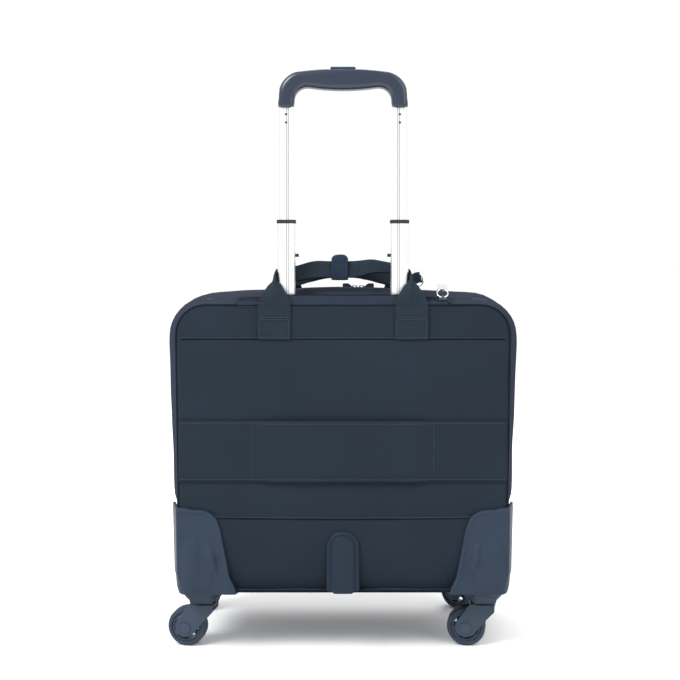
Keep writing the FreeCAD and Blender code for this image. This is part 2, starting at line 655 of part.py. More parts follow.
yoke = block("yoke", 2 * yoke_half, 5, "Sizes.yoke_high - Sizes.yoke_low - 0.05",
             (-yoke_half, "Sizes.tube_depth - 2.5", "Sizes.yoke_low"))
rod_right = rod("rod_right", 1.5, "Sizes.yoke_low - Sizes.rod_low + 0.5",
                (rod_x, "Sizes.tube_depth", "Sizes.rod_low"))
keep("release_rod_frame", fuse("release_rod_frame", yoke, rod_right, mirrored("rod_left", rod_right)))

spring_points = [(-12, 693.1), (-11, 693.1), (-4, 697.9), (4, 697.9), (11, 693.1), (12, 693.1),
                 (12, 693.9), (11.3, 693.9), (4.3, 698.9), (-4.3, 698.9), (-11.3, 693.9),
                 (-12, 693.9)]
spring = prism([Vector(x, tube_y - 2, z) for x, z in spring_points], Vector(0, 4, 0))
keep("button_spring", feature("button_spring", spring))

lock_body = block("lock_body", "Sizes.inner_wide - 2 * Sizes.tube_wall - 0.2",
                  "Sizes.inner_deep - 2 * Sizes.tube_wall - 0.2", 19,
                  ("Sizes.tube_offset - Sizes.inner_wide / 2 + Sizes.tube_wall + 0.1",
                   "Sizes.tube_depth - Sizes.inner_deep / 2 + Sizes.tube_wall + 0.1",
                   "Sizes.inner_low"))
lock_bore = rod("lock_bore", "Sizes.pin_radius + Sizes.stem_play", 30,
                ("Sizes.tube_offset - 15", "Sizes.tube_depth", "Sizes.pin_height"), Vector(1, 0, 0))
keep("lock_blocks", pair("lock_blocks", cut("lock_block", lock_body, lock_bore)))

pin_tip = "Sizes.tube_offset - Sizes.middle_wide / 2 - Sizes.pin_proud"
for node, turned in (("lock_pin_right", False), ("lock_pin_left", True)):
    pin = rod(node + "_solid", "Sizes.pin_radius", 15.2,
              (pin_tip, "Sizes.tube_depth", "Sizes.pin_height"), Vector(1, 0, 0))
    keep(node, mirrored(node, pin) if turned else pin)

# ---------------------------------------------------------------------------------------------
# Zip sliders, their pulls and the tag ring
# ---------------------------------------------------------------------------------------------
tape_top = size["case_top"] + 1.2


def zip_slider(name, x, y, z, ring_pull=False):
    """A zip slider whose underside centre is at x, y, z, with the bridge that holds its pull."""
    plate = block(name + "_plate", 9, 8, 2, (x - 4.5, y - 4, z))
    long, wide = (2.4, 7) if ring_pull else (7, 2.4)
    bridge = block(name + "_bridge", long, wide, 5, (x - long / 2, y - wide / 2, z))
    long, wide = (6, 3.6) if ring_pull else (3.6, 6)
    eye = block(name + "_eye", long, wide, 2.2, (x - long / 2, y - wide / 2, z + 2))
    return cut(name, fuse(name + "_solid", plate, bridge), eye)


def zip_pull(name, x, y, z, way):
    """A flat pull that lies along X, way -1 or 1 from its slider, with a loop through the bridge."""
    def along(start, length):
        """The lower X of a stretch that starts so far from the slider's middle, on the pull's side."""
        return x + start if way > 0 else x - start - length

    loop = block(name + "_loop", 8, 7, 1.2, (along(-1.4, 8), y - 3.5, z + 2.5))
    hole = block(name + "_hole", 5.2, 3.6, 6, (along(0.2, 5.2), y - 1.8, z))
    blade = block(name + "_blade", 11.5, 12, 2.2, (along(5.6, 11.5), y - 6, z + 2))
    return fuse(name, cut(name + "_bail", loop, hole), blade)


main_zip_y = size["shoulder_front"] + seam_gap / 2
for side, name in ((-1, "left"), (1, "right")):
    x = 21 + side * 4.7
    keep(f"main_zip_slider_{name}",
         zip_slider(f"main_zip_slider_{name}", x, main_zip_y, tape_top + 0.2))
    keep(f"main_zip_pull_{name}",
         zip_pull(f"main_zip_pull_{name}", x, main_zip_y, tape_top + 0.2, side))

# The slot's pull leans back from its slider: a wire ring with a webbing tab.
slot_zip_x, slot_zip_y, lip_top = 121.5, -99.7, lip_end_top + 0.2
keep("slot_zip_slider", zip_slider("slot_zip_slider", slot_zip_x, slot_zip_y, lip_top, True))
ring_radius, ring_wire = 6.6, 0.8
slot_ring = Part.makeTorus(ring_radius, ring_wire, Vector(0, 0, ring_radius), Vector(0, 1, 0))
tab = span((-6, -1.2, 2 * ring_radius - 1), (6, 1.2, 2 * ring_radius + 7.5))
lean = FreeCAD.Placement(Vector(slot_zip_x, slot_zip_y, lip_top + 3.1),
                         FreeCAD.Rotation(Vector(1, 0, 0), -45))
keep("slot_zip_pull", feature("slot_zip_pull", slot_ring.fuse(tab), lean))

ring_x, ring_y, ring_z = 99.6, 50, 455
tag_ring = Part.makeTorus(8.5, 1.3, Vector(ring_x, ring_y, ring_z), Vector(0, 1, 0))
keep("tag_ring", feature("tag_ring", tag_ring))
loop_block = block("loop_block", 7, 9, 11, (ring_x - 3.5, ring_y - 4.5, "Sizes.case_top + 0.1"))
loop_room = block("loop_room", 9, 5, 4.8, (ring_x - 4.5, ring_y - 2.5, 444.5))
keep("ring_loop", cut("ring_loop", loop_block, loop_room))

# ---------------------------------------------------------------------------------------------
# Casters: each is made once about its swivel axis, trailing along +X, and placed four times
# ---------------------------------------------------------------------------------------------
fork_half, arm = 10.9, 3.2
crown_low = "Sizes.housing_low - Sizes.crown_gap - Sizes.crown_tall"
stem = rod("stem", "Sizes.stem_radius", 22, (0, 0, 51))
crown = rod("crown", "Sizes.housing_radius + 0.3", "Sizes.crown_tall", (0, 0, crown_low))
crown_nose = block("crown_nose", 14.5, 2 * (fork_half + arm), "Sizes.crown_tall",
                   (0, -fork_half - arm, crown_low))


def fork_arm(name, side):
    """One arm of the fork, from the crown down to the boss round the axle."""
    top = size["housing_low"] - size["crown_gap"]
    outline = [(-16, top), (14.5, top), (26.5, 39), (33, 29), (32, 17), (22, 12), (12, 14.5),
               (2, 26.4), (-5.3, 34.7), (-15.5, 45.5)]
    y = side * fork_half if side > 0 else side * (fork_half + arm)
    shape = prism([Vector(x, y, z) for x, z in outline], Vector(0, arm, 0))
    upright_edges = [edge for edge in shape.Edges
                     if edge.BoundBox.YLength > arm - 0.01 and edge.CenterOfMass.z < 50]
    return feature(name, shape.makeFillet(3, upright_edges))


fork_solid = fuse("fork_solid", stem, crown, crown_nose, fork_arm("arm_near", -1),
                  fork_arm("arm_far", 1))
axle_hole = rod("axle_hole", "Sizes.axle_radius + 0.02", 60, ("Sizes.trail", -30, "Sizes.wheel_radius"),
                Vector(0, 1, 0))
fork = cut("fork", fork_solid, axle_hole)

axle_half = fork_half + arm
axle_shaft = rod("axle_shaft", "Sizes.axle_radius", 2 * axle_half,
                 ("Sizes.trail", -axle_half, "Sizes.wheel_radius"), Vector(0, 1, 0))
axle_heads = [rod(f"axle_head_{i}", 6.8, 1.1, ("Sizes.trail", y, "Sizes.wheel_radius"),
                  Vector(0, 1, 0)) for i, y in enumerate((-axle_half - 1.1, axle_half))]
axle = fuse("axle", axle_shaft, *axle_heads)


def turned(name, profile):
    """A ring turned about the wheel's axle from a profile of (distance along, radius)."""
    body = doc.addObject("PartDesign::Body", name)
    sketch = body.newObject("Sketcher::SketchObject", name + "_profile")
    sketch.AttachmentSupport = [(plane_of(body, "XY_Plane"), "")]
    sketch.MapMode = "FlatFace"
    points = [Vector(radius, along, 0) for along, radius in profile]
    for start, end in zip(points, points[1:] + points[:1]):
        sketch.addGeometry(Part.LineSegment(start, end), False)
    revolution = body.newObject("PartDesign::Revolution", name + "_turn")
    revolution.Profile = sketch
    revolution.ReferenceAxis = (plane_of(body, "Y_Axis"), [""])
    revolution.Angle = 360
    bind(body, Placement__Base__x="Sizes.trail", Placement__Base__z="Sizes.wheel_radius")
    return body


half, wheel = size["wheel_wide"] / 2, size["wheel_radius"]
tyre = turned("tyre", [(-half + 1, 18.2), (half - 1, 18.2), (half, 19.2), (half, wheel - 3.5),
                       (half - 1.2, wheel - 1.2), (half - 3.5, wheel), (-half + 3.5, wheel),
                       (-half + 1.2, wheel - 1.2), (-half, wheel - 3.5), (-half, 19.2)])
bore = size["axle_radius"] + size["stem_play"]
hub_ring = turned("hub_ring", [(-half + 2, 15.6), (half - 2, 15.6), (half - 2, 18.1),
                               (-half + 2, 18.1)])
hub_boss = turned("hub_boss", [(-10.4, bore), (10.4, bore), (10.4, 6.2), (-10.4, 6.2)])
spokes = []
for i in range(5):
    spoke = doc.addObject("Part::Box", f"spoke_{i}")
    bind(spoke, Length=12, Width=7, Height=4)
    angle = 72 * i
    turn = FreeCAD.Rotation(Vector(0, 1, 0), angle)
    corner = Vector(size["trail"], 0, wheel) + turn.multVec(Vector(5, -3.5, -2))
    spoke.Placement = FreeCAD.Placement(corner, turn)
    spokes.append(spoke)
hub = fuse("hub", hub_ring, hub_boss, *spokes)

SWIVEL = {("back", "left"): 170, ("back", "right"): 170, ("front", "left"): 150,
          ("front", "right"): 140}
for side, end in caster_points():
    place_name = ("back" if end < 0 else "front", "left" if side < 0 else "right")
    at = Vector(side * size["caster_x"], end * size["caster_y"], 0)
    turn = FreeCAD.Rotation(Vector(0, 0, 1), SWIVEL[place_name])
    for piece, source in (("fork", fork), ("axle", axle), ("hub", hub), ("tyre", tyre)):
        node = f"caster_{piece}_{place_name[0]}_{place_name[1]}"
        copy = group(node, source)
        copy.Placement = FreeCAD.Placement(at, turn)
        keep(node, copy)

# ---------------------------------------------------------------------------------------------
# Check everything, then write one file for each sub-part
# ---------------------------------------------------------------------------------------------
doc.recompute()
for obj in doc.Objects:
    if "Invalid" in obj.State or "Error" in obj.State:
        raise RuntimeError(f"{obj.Label} did not compute: {obj.State}")
for node, obj in PARTS.items():
    if obj.Shape.isNull() or not obj.Shape.isValid() or not obj.Shape.Solids:
        raise RuntimeError(f"{node} has no valid solid")

os.makedirs("parts", exist_ok=True)
for node, obj in PARTS.items():
    obj.Shape.exportStep(f"parts/{node}.step")
    box = obj.Shape.optimalBoundingBox()
    print(f"{node:28s} {len(obj.Shape.Solids)} x {box.XMin:7.1f} {box.XMax:7.1f} y {box.YMin:7.1f} "
          f"{box.YMax:7.1f} z {box.ZMin:7.1f} {box.ZMax:7.1f}")
print(len(PARTS), "sub-parts")
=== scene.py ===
"""Looks of a rolling laptop case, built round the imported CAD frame. Lengths are in millimetres
until a mesh is made, and every piece lies in the frame's own axes: +Z up, the pull handle on -Y."""

import json
import math

import bmesh
import bpy
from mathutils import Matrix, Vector, noise


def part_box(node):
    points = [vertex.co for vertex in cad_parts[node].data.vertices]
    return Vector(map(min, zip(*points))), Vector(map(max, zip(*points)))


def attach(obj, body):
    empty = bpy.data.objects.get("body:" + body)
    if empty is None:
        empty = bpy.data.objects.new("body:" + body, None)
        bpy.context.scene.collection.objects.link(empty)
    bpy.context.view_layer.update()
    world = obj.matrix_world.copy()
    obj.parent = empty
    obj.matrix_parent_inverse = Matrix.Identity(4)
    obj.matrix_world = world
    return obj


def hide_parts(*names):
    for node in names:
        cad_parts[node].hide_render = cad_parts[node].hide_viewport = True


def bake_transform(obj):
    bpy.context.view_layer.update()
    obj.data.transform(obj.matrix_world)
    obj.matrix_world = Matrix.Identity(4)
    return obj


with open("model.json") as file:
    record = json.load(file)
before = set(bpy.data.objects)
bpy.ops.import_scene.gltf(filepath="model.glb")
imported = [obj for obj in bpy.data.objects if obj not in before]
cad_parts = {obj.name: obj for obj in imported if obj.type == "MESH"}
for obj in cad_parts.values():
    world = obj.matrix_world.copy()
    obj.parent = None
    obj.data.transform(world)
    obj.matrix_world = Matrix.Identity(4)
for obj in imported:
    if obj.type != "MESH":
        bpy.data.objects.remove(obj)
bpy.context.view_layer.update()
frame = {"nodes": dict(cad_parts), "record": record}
MM = 0.001
NODES = frame["nodes"]
SIDES = {"left": -1, "right": 1}
BACKWARD, FORWARD, UP = (0, -1, 0), (0, 1, 0), (0, 0, 1)
GROOVE_MIDDLE = 67.7


def corners(node):
    """The lowest and highest corner of a CAD node, in millimetres."""
    low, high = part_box(node)
    return low / MM, high / MM


def mix(a, b, share):
    """The value that share of the way from a to b."""
    return a + (b - a) * share


def smooth_step(value, low, high):
    """0 below low, 1 above high, and a smooth rise between them."""
    share = min(1.0, max(0.0, (value - low) / (high - low)))
    return share * share * (3 - 2 * share)


def spread(low, high, count):
    """So many evenly spaced numbers from low to high."""
    return [mix(low, high, i / (count - 1)) for i in range(count)]


# ---------------------------------------------------------------------------------------------
# Materials
# ---------------------------------------------------------------------------------------------
def linear(*channels):
    """A colour given by its 8-bit display values."""
    return tuple(c / 255 / 12.92 if c <= 10 else ((c / 255 + 0.055) / 1.055) ** 2.4 for c in channels)


def shader(name, colour, roughness, **settings):
    """A new material with a Principled surface; a double underscore stands for a space."""
    material = bpy.data.materials.new(name)
    material.use_nodes = True
    surface = material.node_tree.nodes["Principled BSDF"]
    surface.inputs["Base Color"].default_value = (*colour, 1)
    surface.inputs["Roughness"].default_value = roughness
    for socket, value in settings.items():
        surface.inputs[socket.replace("__", " ")].default_value = value
    return material, material.node_tree, surface


def add_node(tree, kind, operation=None, inputs=(), **values):
    """A node whose inputs, in order, are numbers or other nodes' outputs."""
    made = tree.nodes.new(kind)
    if operation:
        made.operation = operation
    for name, value in values.items():
        setattr(made, name, value)
    for index, value in enumerate(inputs):
        if isinstance(value, bpy.types.NodeSocket):
            tree.links.new(value, made.inputs[index])
        elif value is not None:
            made.inputs[index].default_value = value
    return made


def sum_of(tree, operation, *inputs):
    """The output of a Math node over the inputs."""
    return add_node(tree, "ShaderNodeMath", operation, inputs).outputs[0]


def vector_of(tree, operation, *inputs):
    """The outputs of a Vector Math node over the inputs."""
    return add_node(tree, "ShaderNodeVectorMath", operation, inputs).outputs


def noise_of(tree, scale, detail=3.0, stretch=(1, 1, 1)):
    """Noise in the piece's own space, in metres, stretched along its axes."""
    place = add_node(tree, "ShaderNodeTexCoord").outputs["Object"]
    stretched = vector_of(tree, "MULTIPLY", place, stretch)[0]
    made = add_node(tree, "ShaderNodeTexNoise")
    tree.links.new(stretched, made.inputs["Vector"])
    made.inputs["Scale"].default_value = scale
    made.inputs["Detail"].default_value = detail
    return made.outputs["Fac"]


def weave_of(tree, pitch):
    """The height of a plain weave of that pitch, on whichever plane the surface faces."""
    place = add_node(tree, "ShaderNodeTexCoord")
    turns = 2 * math.pi / (pitch * MM)
    scaled = vector_of(tree, "MULTIPLY", place.outputs["Object"], (turns, turns, turns))[0]
    waves = vector_of(tree, "SINE", scaled)[0]
    x, y, z = add_node(tree, "ShaderNodeSeparateXYZ", inputs=(waves,)).outputs
    products = [sum_of(tree, "MULTIPLY", a, b) for a, b in ((y, z), (x, z), (x, y))]
    over = add_node(tree, "ShaderNodeCombineXYZ", inputs=products).outputs[0]
    facing = vector_of(tree, "MULTIPLY", place.outputs["Normal"], place.outputs["Normal"])[0]
    return vector_of(tree, "DOT_PRODUCT", over, facing)["Value"]


def tint(tree, surface, colour, share, depth):
    """Varies the base colour by depth either way as share goes from 0.3 to 0.7."""
    ramp = add_node(tree, "ShaderNodeValToRGB", inputs=(share,))
    ramp.color_ramp.elements[0].position = 0.3
    ramp.color_ramp.elements[1].position = 0.7
    ramp.color_ramp.elements[0].color = (*[c * (1 - depth) for c in colour], 1)
    ramp.color_ramp.elements[1].color = (*[c * (1 + depth) for c in colour], 1)
    tree.links.new(ramp.outputs["Color"], surface.inputs["Base Color"])


def bump(tree, surface, *layers):
    """Bumps of (height, how far it stands out in millimetres, strength), one over another."""
    below = None
    for height, distance, strength in layers:
        made = add_node(tree, "ShaderNodeBump")
        made.inputs["Strength"].default_value = strength
        made.inputs["Distance"].default_value = distance * MM
        tree.links.new(height, made.inputs["Height"])
        if below is not None:
            tree.links.new(below, made.inputs["Normal"])
        below = made.outputs["Normal"]
    tree.links.new(below, surface.inputs["Normal"])


def fabric(name, colour, pitch=0.9, roughness=0.86, wrinkle=0.5, depth=0.14):
    """Woven nylon: a plain weave over soft unevenness, nearly without gloss."""
    material, tree, surface = shader(name, colour, roughness, Specular__IOR__Level=0.04)
    cloudy = noise_of(tree, 9.0, 4.0)
    fleck = noise_of(tree, 1600.0, 2.0)
    tint(tree, surface, colour, sum_of(tree, "MULTIPLY_ADD", fleck, 0.5,
                                       sum_of(tree, "MULTIPLY", cloudy, 0.5)), depth)
    bump(tree, surface, (noise_of(tree, 34.0, 3.0), wrinkle, 0.5), (weave_of(tree, pitch), 0.12, 0.7))
    return material


def webbing_weave(name, colour):
    """Ribbed webbing: a coarse weave with fine ribs across it."""
    material, tree, surface = shader(name, colour, 0.78, Specular__IOR__Level=0.08)
    tint(tree, surface, colour, noise_of(tree, 700.0, 3.0), 0.2)
    bump(tree, surface, (noise_of(tree, 40.0), 0.5, 0.5), (weave_of(tree, 1.5), 0.25, 0.9))
    return material


def moulded_plastic(name, colour, roughness=0.5, grain=0.05, specular=0.4):
    """Moulded plastic: fine grain, slightly uneven gloss, a painted highlight that makes its edges a
    little lighter, and painted shade that makes its hollows a little darker.
    """
    material, tree, surface = shader(name, colour, roughness, Specular__IOR__Level=specular)
    # Pointiness paints light and shade into the base colour: painted highlight on sharp edges, painted
    # shade in hollows.
    edge_light_and_hollow_shade = add_node(tree, "ShaderNodeNewGeometry").outputs["Pointiness"]
    uneven = noise_of(tree, 60.0, 4.0)
    tint(tree, surface, colour, sum_of(tree, "MULTIPLY_ADD", uneven, 0.3,
                                       sum_of(tree, "MULTIPLY", edge_light_and_hollow_shade, 0.7)), 0.16)
    rough = sum_of(tree, "MULTIPLY_ADD", noise_of(tree, 25.0), 0.14, roughness - 0.07)
    tree.links.new(rough, surface.inputs["Roughness"])
    bump(tree, surface, (noise_of(tree, 2600.0, 2.0), grain, 0.5))
    return material


def leather(name, colour):
    """Fine-grained leather: small cells with soft creases."""
    material, tree, surface = shader(name, colour, 0.5, Specular__IOR__Level=0.15)
    tint(tree, surface, colour, noise_of(tree, 180.0, 4.0), 0.18)
    cells = add_node(tree, "ShaderNodeTexVoronoi")
    tree.links.new(add_node(tree, "ShaderNodeTexCoord").outputs["Object"], cells.inputs["Vector"])
    cells.inputs["Scale"].default_value = 1100.0
    bump(tree, surface, (noise_of(tree, 90.0), 0.3, 0.4), (cells.outputs["Distance"], 0.14, 0.5))
    return material


def metal(name, colour, roughness, stretch=(1, 1, 1), scale=900.0, scratch=0.02):
    """Metal with fine scratches that run the way stretch says."""
    material, tree, surface = shader(name, colour, roughness, Metallic=1.0)
    tint(tree, surface, colour, noise_of(tree, 30.0), 0.04)
    lines = noise_of(tree, scale, 3.0, stretch)
    rough = sum_of(tree, "MULTIPLY_ADD", lines, 0.12, roughness - 0.06)
    tree.links.new(rough, surface.inputs["Roughness"])
    bump(tree, surface, (lines, scratch, 0.4))
    return material


def metal_with_painted_groove(name, colour):
    """Satin aluminium tube with its groove painted on its broad faces: two fine dark lines of painted
    shade for the groove's walls, bright bands of painted highlight beside them, and painted shade that
    darkens it towards its sides.
    """
    material, tree, surface = shader(name, colour, 0.34, Metallic=1.0)
    place = add_node(tree, "ShaderNodeTexCoord").outputs["Object"]
    x = add_node(tree, "ShaderNodeSeparateXYZ", inputs=(place,)).outputs[0]
    across = sum_of(tree, "SUBTRACT", sum_of(tree, "ABSOLUTE", x), GROOVE_MIDDLE * MM)
    from_middle = sum_of(tree, "MULTIPLY", sum_of(tree, "ABSOLUTE", across), 1 / MM)
    # This ramp paints light and shade into the base colour across the tube: painted shade in the
    # groove's lines and towards the sides, painted highlight beside the groove.
    ramp = add_node(tree, "ShaderNodeValToRGB",
                    inputs=(sum_of(tree, "DIVIDE", from_middle, 12.0),))
    stops = ramp.color_ramp.elements
    stops.new(0.2)
    stops.new(0.6)
    for stop, (position, share) in zip(stops, ((0.06, 0.82), (0.12, 0.3), (0.18, 1.0), (0.8, 0.8))):
        stop.position = position
        stop.color = (*[c * share for c in colour], 1)
    tree.links.new(ramp.outputs["Color"], surface.inputs["Base Color"])
    bump(tree, surface, (noise_of(tree, 900.0, 3.0, (1, 1, 0.02)), 0.02, 0.4))
    return material


LOOKS = {
    "back_fabric": fabric("back_fabric", linear(33, 41, 50)),
    "gusset_fabric": fabric("gusset_fabric", linear(39, 45, 57)),
    "front_fabric": fabric("front_fabric", linear(34, 42, 51)),
    "lining": fabric("lining", linear(92, 98, 108), pitch=0.5, wrinkle=0.8),
    "board": fabric("board", linear(62, 67, 74), pitch=0.6),
    "zip_tape": webbing_weave("zip_tape", linear(26, 32, 40)),
    "webbing": webbing_weave("webbing", linear(34, 43, 52)),
    "wrap_leather": leather("wrap_leather", linear(22, 36, 52)),
    "tube_aluminium": metal_with_painted_groove("tube_aluminium", (0.94, 0.945, 0.95)),
    "grip_plastic": moulded_plastic("grip_plastic", linear(12, 28, 48), 0.3, 0.01, 0.6),
    "button_plastic": moulded_plastic("button_plastic", linear(26, 44, 68), 0.4, 0.03, 0.3),
    "guard_plastic": moulded_plastic("guard_plastic", linear(40, 51, 64), 0.46, specular=0.1),
    "bumper_plastic": moulded_plastic("bumper_plastic", linear(29, 39, 51), 0.46, specular=0.1),
    "caster_plastic": moulded_plastic("caster_plastic", linear(48, 60, 74), 0.42, 0.03, 0.2),
    "tyre_rubber": moulded_plastic("tyre_rubber", linear(46, 57, 70), 0.6, 0.03, 0.15),
    "black_plastic": moulded_plastic("black_plastic", linear(22, 24, 27), 0.5),
    "steel": metal("steel", (0.56, 0.57, 0.58), 0.36),
    "zip_metal": moulded_plastic("zip_metal", linear(34, 40, 49), 0.35, 0.02, 0.5),
    "ring_metal": metal("ring_metal", (0.83, 0.84, 0.85), 0.16),
    "thread": webbing_weave("thread", linear(66, 78, 92)),
    "piping": fabric("piping", linear(19, 25, 33), pitch=0.7, wrinkle=0.2),
}


# ---------------------------------------------------------------------------------------------
# Building meshes
# ---------------------------------------------------------------------------------------------
def make(name, points, faces, look, body="case", slot=None, away_from=None, smooth=True):
    """A new piece from points in millimetres, facing away from the point away_from."""
    mesh = bpy.data.meshes.new(name)
    mesh.from_pydata([Vector(p) * MM for p in points], [], faces)
    worked = bmesh.new()
    worked.from_mesh(mesh)
    bmesh.ops.remove_doubles(worked, verts=worked.verts, dist=1e-6)
    bmesh.ops.recalc_face_normals(worked, faces=worked.faces)
    if away_from is not None:
        centre = Vector(away_from) * MM
        outward = sum((f.calc_center_median() - centre).dot(f.normal) * f.calc_area()
                      for f in worked.faces)
        if outward < 0:
            bmesh.ops.reverse_faces(worked, faces=worked.faces)
    worked.to_mesh(mesh)
    worked.free()
    piece = bpy.data.objects.new(name, mesh)
    bpy.context.scene.collection.objects.link(piece)
    dress(piece, look, smooth)
    piece["body"] = body
    piece["slot"] = slot or look
    return piece


def dress(piece, look, smooth=True):
    """Gives the piece one look all over."""
    piece.data.materials.clear()
    piece.data.materials.append(LOOKS[look])
    piece.data.polygons.foreach_set("use_smooth", [smooth] * len(piece.data.polygons))


def grid(rows, closed=False):
    """Points and faces of a surface through rows of equally many points."""
    count = len(rows[0])
    points = [p for row in rows for p in row]
    faces = []
    for r in range(len(rows) - 1):
        for c in range(count if closed else count - 1):
            near, far = r * count + c, r * count + (c + 1) % count
            faces.append((near, far, far + count, near + count))
    return points, faces


def tube_along(path, radius, closed=False, sides=8, radii=None):
    """Points and faces of a round tube along a path, of one radius or of one for each point."""
    rows = []
    count = len(path)
    for i, here in enumerate(path):
        before = path[(i - 1) % count] if closed or i else here
        after = path[(i + 1) % count] if closed or i < count - 1 else here
        along = (Vector(after) - Vector(before)).normalized()
        first = along.cross(Vector((0, 1, 0)))
        if first.length < 1e-3:
            first = along.cross(Vector((1, 0, 0)))
        first.normalize()
        second = along.cross(first)
        reach = radii[i] if radii else radius
        rows.append([Vector(here) + first * reach * math.cos(a) + second * reach * math.sin(a)
                     for a in (2 * math.pi * k / sides for k in range(sides))])
    if closed:
        rows.append(rows[0])
    points, faces = grid(rows, True)
    if not closed:
        faces.append(tuple(range(sides)))
        faces.append(tuple(range(len(points) - sides, len(points))))
    return points, faces


def joined(*parts):
    """Several (points, faces) as one."""
    points, faces = [], []
    for more_points, more_faces in parts:
        start = len(points)
        points += list(more_points)
        faces += [tuple(start + i for i in face) for face in more_faces]
    return points, faces


def mirrored(points):
    """The same points on the case's other side, in the opposite order."""
    return [Vector((-p.x, p.y, p.z)) for p in reversed(points)]


def apply_modifiers(piece):
    """Puts the result of the piece's modifiers in its mesh."""
    bpy.context.view_layer.update()
    seen = piece.evaluated_get(bpy.context.evaluated_depsgraph_get())
    mesh = bpy.data.meshes.new_from_object(seen)
    piece.modifiers.clear()
    piece.data = mesh
    return piece


def modifier(piece, kind, **values):
    """A new modifier of that kind, with the values set."""
    made = piece.modifiers.new(kind.lower(), kind)
    for name, value in values.items():
        setattr(made, name, value)
    return made


def thicken(piece, thick, inside=None):
    """Gives a sheet its thickness on the inner side, with another look there if inside says."""
    if inside:
        piece.data.materials.append(LOOKS[inside])
    modifier(piece, "SOLIDIFY", thickness=thick * MM, offset=-1.0,
             material_offset=1 if inside else 0, material_offset_rim=0)
    return apply_modifiers(piece)


def soften(piece, voxel, rounds, swell=0.0):
    """Melts the piece's solids into one moulded form with rounded edges, swollen a little if asked."""
    modifier(piece, "REMESH", mode="VOXEL", voxel_size=voxel * MM, use_smooth_shade=True)
    modifier(piece, "SMOOTH", factor=0.5, iterations=rounds)
    if swell:
        modifier(piece, "DISPLACE", mid_level=0.0, strength=swell * MM)
    return apply_modifiers(piece)


def finish_piece(piece, *nodes):
    """Puts the piece on its body and hides the CAD nodes it stands for."""
    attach(piece, piece["body"])
    if nodes:
        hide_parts(*nodes)
    return piece


def cad_copy(node):
    """Points and faces of a CAD node's mesh, in millimetres."""
    mesh = NODES[node].data
    return [v.co / MM for v in mesh.vertices], [tuple(p.vertices) for p in mesh.polygons]


def moulded(name, nodes, look, body, extras=(), voxel=1.2, rounds=6, swell=0.0):
    """A moulded piece in place of CAD nodes: their solids and any extras, melted into one."""
    points, faces = joined(*(cad_copy(node) for node in nodes), *extras)
    piece = make(name, points, faces, look, body)
    soften(piece, voxel, rounds, swell)
    return finish_piece(piece, *nodes)


# ---------------------------------------------------------------------------------------------
# Cloth
# ---------------------------------------------------------------------------------------------
CLOTH_FRAMES = 16


def billow(piece, held, push, most, slack=0.004):
    """Cloth simulation: the sheet billows along push between its held points, by most at the most."""
    scene = bpy.context.scene
    rest = [v.co.copy() for v in piece.data.vertices]
    pinned = piece.vertex_groups.new(name="held")
    pinned.add([i for i, p in enumerate(rest) if held(p / MM)], 1.0, "REPLACE")
    cloth = piece.modifiers.new("cloth", "CLOTH")
    settings = cloth.settings
    settings.quality = 4
    settings.mass = 0.25
    settings.tension_stiffness = settings.compression_stiffness = 30
    settings.bending_stiffness = 1.2
    settings.shrink_min = -slack
    settings.vertex_group_mass = pinned.name
    cloth.collision_settings.use_collision = False
    cloth.point_cache.frame_start = 1
    cloth.point_cache.frame_end = CLOTH_FRAMES
    gravity = scene.gravity.copy()
    scene.gravity = Vector(push)
    for step in range(1, CLOTH_FRAMES + 1):
        scene.frame_set(step)
    moved = piece.evaluated_get(bpy.context.evaluated_depsgraph_get()).data
    reached = [v.co.copy() for v in moved.vertices]
    piece.modifiers.clear()
    piece.vertex_groups.clear()
    scene.gravity = gravity
    scene.frame_set(1)
    for vertex, start, end in zip(piece.data.vertices, rest, reached):
        move = end - start
        if move.length > 1e-9:
            vertex.co = start + move.normalized() * most * MM * math.tanh(move.length / (most * MM))
    piece.data.update()
    return piece


def uneven(piece, amount, size, seed=0.0):
    """Small soft hollows and rises along the surface, of that height and size."""
    normals = [v.normal.copy() for v in piece.data.vertices]
    for vertex, normal in zip(piece.data.vertices, normals):
        place = vertex.co / (size * MM) + Vector((seed, 0, 0))
        vertex.co += normal * noise.noise(place) * amount * MM
    piece.data.update()
    return piece


STITCH = {"long": 2.1, "pitch": 3.1, "thick": 0.32}


def stitches(path, outward, lift=0.15):
    """Points and faces of thread stitches along a path, standing out a little on the outward side."""
    outward = Vector(outward).normalized()
    path = [Vector(p) for p in path]
    lengths = [0.0]
    for a, b in zip(path, path[1:]):
        lengths.append(lengths[-1] + (b - a).length)

    def at(distance):
        for i in range(len(path) - 1):
            if distance <= lengths[i + 1]:
                step = lengths[i + 1] - lengths[i]
                return path[i].lerp(path[i + 1], (distance - lengths[i]) / step)
        return path[-1]

    parts = []
    count = int(lengths[-1] / STITCH["pitch"])
    for i in range(count):
        middle = (i + 0.5) * lengths[-1] / count
        start, end = at(middle - STITCH["long"] / 2), at(middle + STITCH["long"] / 2)
        line = [mix(start, end, s) + outward * (lift + 0.3 * math.sin(math.pi * s))
                for s in (0.0, 0.25, 0.5, 0.75, 1.0)]
        parts.append(tube_along(line, STITCH["thick"], sides=5))
    return joined(*parts)


def sew(name, parts, body="case", slot="back_fabric"):
    """Rows of stitches as one piece of thread."""
    finish_piece(make(name, *joined(*parts), "thread", body, slot))


